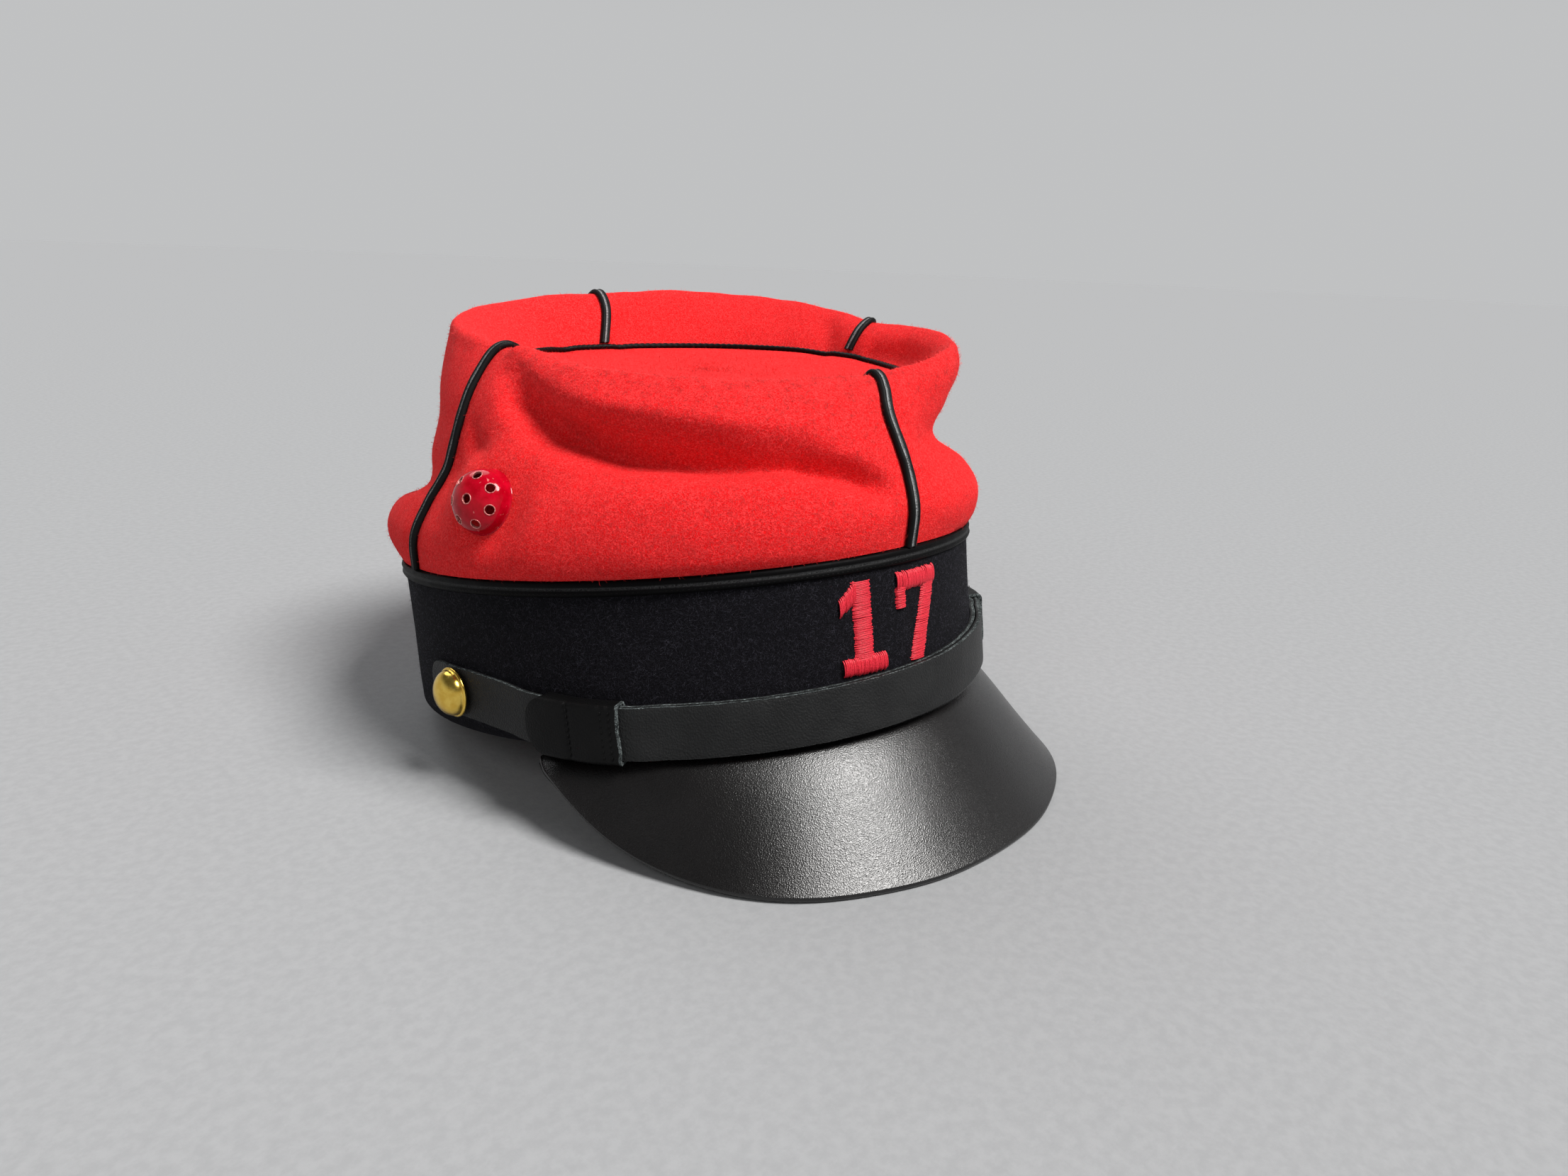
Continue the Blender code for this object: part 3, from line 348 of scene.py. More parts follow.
def rim_faces(n, m, step):
    """Faces that join the edges of two grids of n by m whose numbers differ by step."""
    loop = [i * m for i in range(n)] + [(n - 1) * m + j for j in range(1, m)]
    loop += [i * m + m - 1 for i in range(n - 2, -1, -1)] + list(range(m - 2, 0, -1))
    a = np.array(loop)
    b = np.roll(a, -1)
    return np.stack((b, a, a + step, b + step), -1)


def fan(first, m, centre):
    """Triangles from a ring of m points to a centre."""
    return [[first + j, first + (j + 1) % m, centre] for j in range(m)]


def tube_faces(n, m, closed=False):
    """Faces of n rings of m points: a tube closed on itself, or capped at both ends."""
    faces = grid_faces(n, m, around=True, along=closed).tolist()
    if not closed:
        faces += [list(range(m)), list(range(n * m - 1, n * m - m - 1, -1))]
    return faces


def tube(spine, side, up, r, count):
    """Rings of points round a spine, from one radius, one for each ring or one for each point."""
    turn = circle(count)
    r = r if np.ndim(r) == 2 else np.reshape(r, (-1, 1))
    side, up = np.atleast_2d(side)[:, None], np.atleast_2d(up)[:, None]
    return (spine[:, None] + side * (r * np.cos(turn))[..., None]
            + up * (r * np.sin(turn))[..., None])


def join_tubes(tubes, closed=False):
    """Points and faces of many tubes of the same number of points."""
    n, m = tubes[0].shape[:2]
    one = tube_faces(n, m, closed)
    faces = [[i + k * n * m for i in face] for k in range(len(tubes)) for face in one]
    return np.concatenate([t.reshape(-1, 3) for t in tubes]), faces


def add_object(name, data):
    """An object in the scene."""
    made = bpy.data.objects.new(name, data)
    bpy.context.scene.collection.objects.link(made)
    return made


def piece(name, points, faces, materials, stands_for=(), slot=None, ids=None, sharp=60):
    """A mesh in the row frame from points of the cap's frame, riding on the cap."""
    mesh = bpy.data.meshes.new(name)
    mesh.from_pydata(stand(points).reshape(-1, 3).tolist(), [], [list(f) for f in faces])
    if ids is not None:
        mesh.polygons.foreach_set("material_index", np.asarray(ids, np.int32))
    bm = bmesh.new()
    bm.from_mesh(mesh)
    bmesh.ops.recalc_face_normals(bm, faces=bm.faces)
    bm.to_mesh(mesh)
    bm.free()
    mesh.polygons.foreach_set("use_smooth", [True] * len(mesh.polygons))
    mesh.set_sharp_from_angle(angle=radians(sharp))
    for material in materials:
        mesh.materials.append(material)
    obj = add_object(name, mesh)
    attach(obj, "root")
    if stands_for:
        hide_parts(*stands_for)
    return obj


# Materials


def add_node(tree, kind, inputs=(), **settings):
    """A shader node with its settings, and its inputs linked or set."""
    made = tree.nodes.new("ShaderNode" + kind)
    for key, value in settings.items():
        setattr(made, key, value)
    for key, value in dict(inputs).items():
        if isinstance(value, bpy.types.NodeSocket):
            tree.links.new(value, made.inputs[key])
        else:
            made.inputs[key].default_value = value
    return made


class Finish:
    """A procedural material, built up node by node."""

    def __init__(self, name, gloss=0.5, **sockets):
        self.material = bpy.data.materials.new(name)
        self.material.use_nodes = True
        self.tree = self.material.node_tree
        self.shader = self.tree.nodes["Principled BSDF"]
        for key, value in {"Specular_IOR_Level": gloss, **sockets}.items():
            socket = self.shader.inputs[key.replace("_", " ")]
            socket.default_value = (*value, 1.0) if isinstance(value, tuple) else value
        places = self.node("TexCoord").outputs
        self.place, self.thread_place = places["Object"], places["UV"]

    def node(self, kind, inputs=(), **settings):
        """A node of this material."""
        return add_node(self.tree, kind, inputs, **settings)

    def noise(self, size, detail=2.0, rough_share=0.55, swirl=0.0, place=None):
        """Random values of lumps of a size in millimetres."""
        return self.node("TexNoise", {"Vector": place or self.place, "Scale": 1 / (size * MM),
                                      "Detail": detail, "Roughness": rough_share,
                                      "Distortion": swirl}).outputs["Fac"]

    def cells(self, size, scales, smooth):
        """Distances to scattered points a size in millimetres apart."""
        return self.node("TexVoronoi", {"Vector": self.stretched(*scales), "Smoothness": smooth,
                                        "Scale": 1 / (size * MM)},
                         feature="SMOOTH_F1").outputs["Distance"]

    def stretched(self, x, y, z):
        """Coordinates scaled along each axis."""
        return self.node("Mapping", {"Vector": self.place, "Scale": (x, y, z)}).outputs["Vector"]

    def band_of(self, value, low=0.3, high=0.7, to_low=0.0, to_high=1.0):
        """A value brought from one range to another, held at its ends."""
        return self.node("MapRange", {"Value": value, "From Min": low, "From Max": high,
                                      "To Min": to_low, "To Max": to_high},
                         interpolation_type="SMOOTHSTEP").outputs["Result"]

    def mix(self, share, first, second):
        """A mix of two colours, each a socket or a value."""
        first = (*first, 1.0) if isinstance(first, tuple) else first
        second = (*second, 1.0) if isinstance(second, tuple) else second
        made = self.node("MixRGB", {"Fac": share, "Color1": first, "Color2": second})
        return made.outputs["Color"]

    def math(self, kind, a, b=0.0):
        """A sum or other operation on two values."""
        return self.node("Math", {0: a, 1: b}, operation=kind).outputs["Value"]

    def curls(self, size, thin, shift):
        """Curly fibres: thin lines along which smooth noise crosses its middle."""
        place = self.node("VectorMath", {0: self.place, 1: (shift, 0.7 * shift, -shift)},
                          operation="ADD").outputs["Vector"]
        off = self.math("SUBTRACT", self.noise(size, 1.0, 0.5, 0.0, place), 0.5)
        return self.band_of(self.math("ABSOLUTE", off), 0.0, thin, 1.0, 0.0)

    def pile(self, size, thin):
        """Three layers of curly fibres, one over the other."""
        layers = [self.curls(size * k, thin, shift) for k, shift in
                  ((1.0, 0.0), (0.8, 3.1), (0.62, 7.7))]
        return self.math("MAXIMUM", self.math("MAXIMUM", layers[0], layers[1]), layers[2])

    def colour(self, socket):
        """The base colour comes from a socket."""
        self.tree.links.new(socket, self.shader.inputs["Base Color"])

    def tone(self, value, dark, light, low=0.3, high=0.7):
        """The colour goes from dark to light as a value goes from low to high."""
        self.colour(self.mix(self.band_of(value, low, high), dark, light))

    def roughness(self, socket):
        """The roughness comes from a socket."""
        self.tree.links.new(socket, self.shader.inputs["Roughness"])

    def relief(self, *layers):
        """The material, with relief of values and depths in millimetres, one upon another."""
        under = None
        for value, depth in layers:
            inputs = {"Height": value, "Distance": depth * MM}
            if under:
                inputs["Normal"] = under
            under = self.node("Bump", inputs).outputs["Normal"]
        self.tree.links.new(under, self.shader.inputs["Normal"])
        return self.material


def felt_finish(name, deep, mid, light, tint, sheen, thin, nap=1.0):
    """Fulled wool: a matted surface of short curled fibres."""
    f = Finish(name, Roughness=0.92, Sheen_Weight=sheen, Sheen_Roughness=0.5, Sheen_Tint=tint,
               gloss=0.12)
    fibres = f.pile(1.1, thin)
    mat = f.noise(0.5, 3.0, 0.62, 1.2)
    clouds = f.noise(9.0, 2.0, 0.5)
    tufts = f.noise(1.5, 3.0, 0.6, 0.9)
    shade = f.mix(f.band_of(mat, 0.34, 0.66), deep, mid)
    shade = f.mix(f.math("MULTIPLY", fibres, 0.7), shade, light)
    f.colour(shade)
    return f.relief((clouds, 0.3 * nap), (tufts, 0.3 * nap), (mat, 0.17 * nap),
                    (fibres, 0.1 * nap))


def fibre_finish(name, colour, tint):
    """The loose fibres of a nap."""
    f = Finish(name, Roughness=0.75, Sheen_Weight=0.3, Sheen_Roughness=0.4, Sheen_Tint=tint,
               gloss=0.2)
    f.tone(f.noise(2.5), tuple(0.55 * c for c in colour), colour, 0.35, 0.65)
    return f.material


def braid_finish(name, pitch, slope, relief, gloss, pale):
    """Black braid: slanting threads that meet in the groove between its two ribs, with a painted
    highlight along the groove.
    """
    f = Finish(name, gloss=gloss)
    # the mesh's UV map holds the distance along the braid and across it, in millimetres
    spot = f.node("SeparateXYZ", {"Vector": f.thread_place}).outputs
    phase = f.math("ADD", f.math("DIVIDE", spot["X"], pitch),
                   f.math("MULTIPLY", f.math("ABSOLUTE", spot["Y"]), slope))
    wander = f.math("MULTIPLY", f.noise(1.6, 2.0), 0.5)
    wave = f.math("SINE", f.math("MULTIPLY", f.math("ADD", phase, wander), pi))
    threads = f.math("POWER", f.math("ABSOLUTE", wave), 0.6)
    plies = f.noise(0.22, 2.0, 0.6, 0.5)
    shade = f.mix(f.band_of(threads, 0.2, 0.9), (0.0006, 0.0006, 0.0007),
                  (0.0026, 0.0026, 0.0028))
    # painted highlight: pale flecks along the groove stand in for the glint of the ribs' threads
    groove_glint_band = f.band_of(f.math("ABSOLUTE", spot["Y"]), 0.10, 0.65, 1.0, 0.0)
    painted_glints = f.math("MULTIPLY", groove_glint_band, f.math("MULTIPLY", threads, f.band_of(plies, 0.38, 0.58)))
    f.colour(f.mix(f.math("MULTIPLY", painted_glints, pale), shade, (0.50, 0.51, 0.52)))
    f.roughness(f.band_of(plies, to_low=0.40, to_high=0.60))
    return f.relief((threads, relief), (plies, 0.05))


def peak_finish():
    """Black leather with a fine pebbled grain and a soft gloss."""
    f = Finish("peak_leather", gloss=0.6)
    pebble = f.cells(0.4, (1.0, 1.3, 1.3), 0.4)
    fine = f.noise(0.26, 2.0, 0.6, 0.6)
    broad = f.noise(16.0, 2.0, 0.5)
    f.tone(broad, (0.0024, 0.0020, 0.0021), (0.0038, 0.0032, 0.0033))
    f.roughness(f.band_of(fine, 0.25, 0.75, 0.25, 0.34))
    return f.relief((broad, 0.12), (pebble, 0.06), (fine, 0.03))


def strap_finish(name, dark, light, gloss, grain_depth):
    """Thin charcoal leather, nearly matt, with a fine wrinkled grain."""
    f = Finish(name, gloss=gloss)
    grain = f.cells(0.5, (1.0, 1.0, 0.8), 0.35)
    fine = f.noise(0.22, 3.0, 0.65, 0.6)
    broad = f.noise(11.0, 3.0, 0.55)
    f.tone(broad, dark, light)
    f.roughness(f.band_of(fine, 0.25, 0.75, 0.38, 0.55))
    return f.relief((broad, 0.15), (grain, grain_depth), (fine, 0.4 * grain_depth))


def cut_finish():
    """The raw, fibrous cut of a leather's edge."""
    f = Finish("leather_cut_edge", Roughness=0.9, gloss=0.15)
    fibres = f.band_of(f.noise(0.45, 4.0, 0.7, 1.2), 0.42, 0.6)
    worn = f.band_of(f.noise(2.4, 2.0, 0.6), 0.35, 0.6, 0.35, 1.0)
    f.colour(f.mix(f.math("MULTIPLY", fibres, worn), (0.010, 0.012, 0.013), (0.25, 0.29, 0.29)))
    return f.relief((fibres, 0.2))


def brass_finish():
    """Polished brass, a little clouded and scratched."""
    f = Finish("button_brass", Metallic=1.0)
    cloud = f.noise(2.2, 4.0, 0.6)
    scratch = f.noise(0.25, 3.0, 0.6, place=f.stretched(1.0, 0.2, 1.0))
    f.tone(cloud, (0.74, 0.47, 0.075), (0.88, 0.62, 0.13), 0.35)
    f.roughness(f.band_of(cloud, to_low=0.14, to_high=0.25))
    return f.relief((scratch, 0.006), (f.noise(2.6, 2.0), 0.05))


def enamel_finish():
    """Glossy crimson enamel with a few dull chips."""
    f = Finish("vent_enamel", IOR=1.3, gloss=0.5)
    cloud = f.noise(3.0, 3.0, 0.6)
    chips = f.band_of(f.noise(1.7, 4.0, 0.62, 0.6), 0.665, 0.69)
    paint = f.mix(f.band_of(cloud), (0.31, 0.0, 0.006), (0.44, 0.001, 0.014))
    f.colour(f.mix(chips, paint, (0.62, 0.10, 0.10)))
    f.roughness(f.math("ADD", f.band_of(cloud, to_low=0.09, to_high=0.16),
                       f.math("MULTIPLY", chips, 0.4)))
    return f.relief((f.noise(2.2, 3.0, 0.6), 0.05), (f.math("SUBTRACT", 1.0, chips), 0.05))


def bare_finish():
    """The worn paint round the vents' holes."""
    f = Finish("vent_worn_rim", Roughness=0.42, Metallic=0.35)
    f.tone(f.noise(0.5, 3.0, 0.65), (0.34, 0.03, 0.035), (0.72, 0.30, 0.27), 0.35, 0.65)
    return f.material


def thread_finish(name, dark, light, rough_low, rough_high, gloss, sheen):
    """Twisted thread, its plies as fine relief."""
    f = Finish(name, Sheen_Weight=sheen, Sheen_Roughness=0.3, gloss=gloss)
    ply = f.noise(0.3, 3.0, 0.6)
    f.tone(ply, dark, light)
    f.roughness(f.band_of(ply, to_low=rough_low, to_high=rough_high))
    return f.relief((ply, 0.05))


RED_FELT = felt_finish("crown_felt", (0.66, 0.004, 0.006), (0.84, 0.010, 0.012),
                       (0.99, 0.060, 0.062), (1.0, 0.30, 0.28), 0.04, 0.045)
NAVY_CLOTH = felt_finish("band_cloth", (0.0012, 0.0011, 0.0018), (0.0026, 0.0024, 0.0039),
                         (0.021, 0.020, 0.028), (0.8, 0.8, 1.0), 0.01, 0.018, 1.3)
RED_FIBRE = fibre_finish("crown_fibres", (0.95, 0.045, 0.047), (1.0, 0.4, 0.35))
NAVY_FIBRE = fibre_finish("band_fibres", (0.042, 0.040, 0.053), (0.8, 0.8, 1.0))
# the last number, pale, is how strong the painted highlight along each braid's groove is
BRAID = braid_finish("black_braid", 0.42, 1.4, 0.04, 0.14, 0.9)
BASE_BRAID = braid_finish("black_braid_base", 0.42, 1.4, 0.02, 0.05, 0.1)
CORD = braid_finish("black_cord", 0.6, 0.5, 0.04, 0.14, 0.0)
PEAK_LEATHER = peak_finish()
STRAP_LEATHER = strap_finish("strap_leather", (0.0085, 0.0087, 0.0090),
                             (0.0125, 0.0128, 0.0130), 0.2, 0.16)
SLIDE_LEATHER = strap_finish("slide_leather", (0.0020, 0.0020, 0.0021),
                             (0.0034, 0.0034, 0.0035), 0.13, 0.09)
CUT_EDGE = cut_finish()
BRASS = brass_finish()
ENAMEL = enamel_finish()
WORN_RIM = bare_finish()
RED_THREAD = thread_finish("digit_thread", (0.42, 0.004, 0.012), (0.72, 0.022, 0.048), 0.40, 0.58,
                           0.4, 0.05)
BLACK_THREAD = thread_finish("black_thread", (0.001, 0.001, 0.001), (0.004, 0.0042, 0.0042), 0.4,
                             0.6, 0.1, 0.0)


# Crown


# Length and width of the fibres, their material and slot
CROWN_NAP = (1.6, 0.07, RED_FIBRE, "crown_felt")
BAND_NAP = (1.25, 0.05, NAVY_FIBRE, "band_cloth")


def felt_shape(key, s, v):
    """A panel's outer face with the small unevenness of soft felt, and its normals."""
    p = panel_point(key, s, v)
    n = facing(panel_point, key, s, v, 0.004)
    edge = np.minimum(s, 1 - s) * PANEL_ARC
    calm = ramp(edge, 1.0, 10.0) * ramp(v, 0.0, 0.06) * (1 - ramp(v, 0.9, DISC_AT))
    lumps = 0.75 * rough(p, 24.0, FELT_SEED) + 0.28 * rough(p, 9.0, FELT_SEED + 5)
    return p + n * (lumps * calm)[..., None], n


# Each panel's mesh: lines from seam to seam, points up to the bend and over it; fibres on it
PANEL_GRIDS = {
    "fr": (136, 70, 48, 24000),
    "fl": (100, 50, 42, 15000),
    "br": (96, 48, 42, 14000),
    "bl": (96, 48, 42, 14000),
}


def make_panels():
    """The four felt panels, each with its two faces, its rim and its nap."""
    for k, key in enumerate(PANEL_KEYS):
        lines, low, high, fibres = PANEL_GRIDS[key]
        along = np.concatenate(([0.0008], np.linspace(0.008, 0.992, lines - 2), [0.9992]))
        up = np.concatenate((np.linspace(0, 0.6, low), np.linspace(0.609, 1, high)))
        s, v = np.meshgrid(along, up, indexing="ij")
        outer, n = felt_shape(key, s, v)
        inner = outer - n * PANEL_WALL
        inner[:, 0, 2], inner[:, -1, 2] = outer[:, 0, 2], outer[:, -1, 2]
        rows, cols = s.shape
        faces = np.concatenate((grid_faces(rows, cols), grid_faces(rows, cols, s.size),
                                rim_faces(rows, cols, s.size)))
        name = PANELS[key][2]
        piece(name + "_felt", np.stack((outer, inner)), faces, [RED_FELT], [name], "crown_felt")
        make_nap("nap_" + name, outer, n, fibres, CROWN_NAP, 11 + k)


def make_nap(name, skin, normals, count, nap, seed):
    """Short curled fibres scattered over a grid of surface points."""
    length, width, material, slot = nap
    rng = np.random.default_rng(seed)
    n, m = skin.shape[:2]
    i, j = rng.uniform(0, n - 1.001, count), rng.uniform(0, m - 1.001, count)
    a, b = i.astype(int), j.astype(int)
    fi, fj = (i - a)[:, None], (j - b)[:, None]

    def at(grid):
        return ((grid[a, b] * (1 - fi) + grid[a + 1, b] * fi) * (1 - fj)
                + (grid[a, b + 1] * (1 - fi) + grid[a + 1, b + 1] * fi) * fj)
    root, up = at(skin), unit(at(normals))
    way = rng.normal(size=(count, 3))
    way = unit(way - up * (way * up).sum(1, keepdims=True))
    side = np.cross(up, way)
    size = (length * rng.uniform(0.45, 1.15, count))[:, None]
    bend = rng.uniform(-0.7, 0.7, count)[:, None]
    rise = (rng.uniform(0.03, 0.16, count) + 0.5 * (rng.random(count) < 0.14))[:, None]
    half = width / 2
    lifted = root + up * 0.02
    mid = lifted + way * size * 0.5 + side * bend * size * 0.28 + up * size * rise * 0.8
    tip = lifted + way * size * 0.85 + side * bend * size + up * size * rise
    points = np.stack((lifted - side * half, lifted + side * half, mid - side * half,
                       mid + side * half, tip), 1)
    base = np.arange(count)[:, None] * 5
    quads = base + np.array((0, 1, 3, 2))
    tips = base + np.array((2, 3, 4))
    piece(name, points, quads.tolist() + tips.tolist(), [material], (), slot)


def disc_line(v=DISC_AT, share=60):
    """Points round the disc's edge, front seam first, towards the wearer's left."""
    line = []
    for key, back in (("fl", True), ("bl", False), ("br", True), ("fr", False)):
        s = np.linspace(0, 1, share, endpoint=False)
        line.append(panel_point(key, 1 - s if back else s, v))
    return np.concatenate(line)


def make_disc():
    """The felt disc, a little slack, with its nap."""
    edge = disc_line()
    mid = edge.mean(0)
    edge = edge - unit(edge - mid) * 0.15
    shares = np.linspace(1, 0, 34)[:-1]
    top = mid + (edge[None] - mid) * shares[:, None, None]
    sag = DISC_SAG * np.sin(pi / 2 * np.clip((1 - shares) / 0.5, 0, 1))
    top[..., 2] -= sag[:, None]
    calm = ramp(1 - shares, 0.0, 0.2)[:, None]
    top[..., 2] += calm * (0.9 * rough(top, 26.0, 21) + 0.3 * rough(top, 9.0, 22))
    low = top - UP * DISC_WALL
    n, m = top.shape[:2]
    count = n * m
    tips = np.stack((top[-1].mean(0), low[-1].mean(0)))
    faces = grid_faces(n, m, around=True).tolist() + grid_faces(n, m, count, True).tolist()
    faces += fan(count - m, m, 2 * count) + fan(2 * count - m, m, 2 * count + 1)
    faces += [[j, (j + 1) % m, count + (j + 1) % m, count + j] for j in range(m)]
    points = np.concatenate((top.reshape(-1, 3), low.reshape(-1, 3), tips))
    piece("crown_disc_felt", points, faces, [RED_FELT], ["crown_top"], "crown_felt")
    make_nap("nap_crown_top", top, np.broadcast_to(UP, top.shape), 13000, CROWN_NAP, 17)


# Braids


def braid_profile(points_across=15):
    """The braid seen end on: place across from -1 to 1, and height as a share of a rib."""
    x = np.linspace(-1, 1, points_across)
    cord = np.sqrt(np.clip(1 - ((abs(x) - 0.5) / 0.52) ** 2, 0, 1))
    return x, np.maximum(cord, 0.28 + 0.4 * (abs(x) < 0.5))


def make_braid(name, path, across, up, closed, node, material, half=BRAID_HALF,
               rib=BRAID_RIB, foot=0.05):
    """Two-ribbed braid along a path."""
    x, h = braid_profile()
    # each rib wavers a little, as a sewn braid does
    waver = rough(path[:, None] + x[:, None] * (0, 0, 3.0), 5.0, 71)
    height = foot + rib * h[None] * (1 + 0.12 * waver)
    top = (path[:, None] + across[:, None] * (half * x)[None, :, None]
           + up[:, None] * height[..., None])
    back = half * np.array((0.9, -0.9))
    low = path[:, None] + across[:, None] * back[None, :, None] + up[:, None] * foot
    section = np.concatenate((top, low), 1)
    obj = piece(name, section, tube_faces(*section.shape[:2], closed), [material], [node],
                "braid", sharp=75)
    lay_threads(obj.data, run_along(path, closed), np.concatenate((half * x, back)))


def lay_threads(mesh, run, across):
    """A UV map of a swept mesh: the distance along it and across it, in millimetres."""
    corners = np.empty(len(mesh.loops), np.int32)
    mesh.loops.foreach_get("vertex_index", corners)
    row, col = corners // len(across), corners % len(across)
    starts = np.empty(len(mesh.polygons), np.int32)
    mesh.polygons.foreach_get("loop_start", starts)
    span = np.maximum.reduceat(row, starts) - np.minimum.reduceat(row, starts)
    sizes = np.diff(np.append(starts, len(corners)))
    over = np.repeat(span > 1, sizes) & (row == 0)
    place = np.stack((np.where(over, run[-1], run[row]), across[col]), 1)
    mesh.uv_layers.new(name="threads").data.foreach_set("uv", place.astype(np.float32).ravel())


def make_seam_braids():
    """The four braids that climb the seams from the base braid and turn in over the rim."""
    seams = (("front", "fr", "fl", 1.0), ("right", "fr", "br", 0.0),
             ("back", "br", "bl", 1.0), ("left", "bl", "fl", 0.0))
    for name, one, two, s in seams:
        v = np.linspace(0, 0.968, 1500)
        seam = panel_point(one, s, v)
        floor = panel_point(one, s, DISC_AT)[2] + 2 * PIPING_R
        keep = (v < 0.8) | (seam[:, 2] > floor)
        run = run_along(seam[keep])
        v = np.interp(np.arange(0, run[-1], BRAID_STEP), run, v[keep])
        beside = abs(s - SEAM_FLAT / PANEL_ARC)
        a, b = panel_point(one, beside, v), panel_point(two, beside, v)
        seam = panel_point(one, s, v)
        across = unit(a - b)
        up = unit(np.cross(across, np.gradient(seam, axis=0)))
        out = facing(panel_point, one, np.full(len(v), beside), v)
        up = up * np.sign((up * out).sum(1, keepdims=True))
        proud = np.maximum(((seam - (a + b) / 2) * up).sum(1, keepdims=True), 0)
        # past the front's sharp rim the braid lies sunk in the felt
        sunk = SEAM_SINK * ramp(v, 0.75, 0.83)[:, None] * (name == "front")
        path = (a + b) / 2 + up * (proud + 0.1 - sunk)
        make_braid("braid_" + name + "_seam", path, across, up, False, "seam_braid_" + name,
                   BRAID)


def make_base_braid():
    """A flatter braid round the band, held by two rows of fine stitches."""
    angles = angle_at(np.arange(-BASE_BRAID_RUN, BASE_BRAID_RUN + 1.5, 0.5))
    angles = angles[abs(angles) < 180]
    up = band_out(angles)
    make_braid("braid_base", band_point(angles, 0.1, BASE_BRAID_Z), np.broadcast_to(UP, up.shape),
               up, True, "base_braid", BASE_BRAID, BASE_BRAID_HALF, BASE_BRAID_RIB)
    x, h = braid_profile(101)
    tubes = []
    for low in (-0.1, -1.15):
        off = 0.12 + BASE_BRAID_RIB * np.interp(low / BASE_BRAID_HALF, x, h)
        for arc in np.arange(1 - BASE_BRAID_RUN, BASE_BRAID_RUN - 1, 1.45):
            start, end = angle_at(arc), angle_at(arc + 0.95)
            tubes.append(stitch(band_point(start, off, BASE_BRAID_Z + low),
                                band_point(end, off, BASE_BRAID_Z + low),
                                band_out(start), 0.11, 0.16, 4, 4))
    piece("braid_base_stitches", *join_tubes(tubes), [BLACK_THREAD], (), "braid")


def make_piping():
    """A thin twisted cord round the disc."""
    edge = disc_line(share=150)
    inward = edge.mean(0) - edge
    inward[:, 2] = 0
    inward = unit(inward)
    path = edge + inward * (0.35 + PIPING_R) + UP * 0.7 * PIPING_R
    run = run_along(path, True)
    turn = circle(10)
    twist = 2 * pi * run[:-1] / run[-1] * PIPING_TURNS
    r = PIPING_R * (0.9 + 0.13 * np.cos(2 * (turn[None] - twist[:, None])))
    section = tube(path, inward, UP, r, len(turn))
    cord = piece("braid_round_top", section, tube_faces(*section.shape[:2], True), [CORD],
                 ["top_braid"], "braid")
    lay_threads(cord.data, run, turn * PIPING_R)


# Band


def make_band():
    """The cloth band with its rounded lower edge, and its nap."""
    r = BAND_WALL / 2
    turn = np.linspace(0, pi, 9)
    foot = np.stack((-r + r * np.cos(turn), r - r * np.sin(turn)), 1)
    up = np.linspace(r, BAND_HEIGHT, 34)[1:]
    outer = np.stack((0 * up, up), 1)[::-1]
    ring = np.concatenate((outer, foot, np.stack((0 * up - BAND_WALL, up), 1)))
    angles = np.linspace(-180, 180, 420, endpoint=False)
    out = band_out(angles)[:, None]
    points = band_point(angles[:, None], ring[None, :, 0], ring[None, :, 1])
    calm = ramp(ring[:, 1], 2.0, 8.0) * (1 - ramp(ring[:, 1], 36.0, 41.0))
    points = points + out * (0.3 * rough(points, 26.0, 31) * calm[None])[..., None]
    piece("band_cloth_wall", points, tube_faces(*points.shape[:2], True), [NAVY_CLOTH],
          ["band"], "band_cloth")
    skin = points[:, 1:len(outer)]
    skin, normals = (np.concatenate((g, g[:1])) for g in (skin, np.zeros_like(skin) + out))
    make_nap("nap_band", skin, normals, 26000, BAND_NAP, 37)


# Peak


def peak_lines(steps):
    """Lines of the peak's upper face, from the band to the edge, and the lines' normals."""
    table = np.array(PEAK_EDGE)
    far = run_along(table)
    t = np.linspace(-PEAK_SHARE, PEAK_SHARE, steps)
    spot = curve(np.column_stack((far / far[-1], table)), abs(t))
    side, front, up = spot[:, 0] * np.sign(t), spot[:, 1], spot[:, 2] - Z0
    tip = np.stack((side, front * cos(LEAN) - up * sin(LEAN),
                    front * sin(LEAN) + up * cos(LEAN)), 1)
    for _ in range(PEAK_SMOOTHING):
        tip[1:-1] = (tip[:-2] + 2 * tip[1:-1] + tip[2:]) / 4
    a = PEAK_SPAN * t
    root = band_point(a, -0.1, PEAK_ROOT)
    # the corners round off into the band under the slides
    corner = np.clip((abs(t) - PEAK_SHARE + PEAK_CORNER) / PEAK_CORNER, 0, 1)
    run = (tip - root) * (1 - 0.45 * corner**2)[:, None]
    n = unit(np.cross(band_point(a + 1, 0, 0) - band_point(a - 1, 0, 0), run))
    return t, a, root, run, n * np.where(n[:, 2:] < 0, -1, 1)


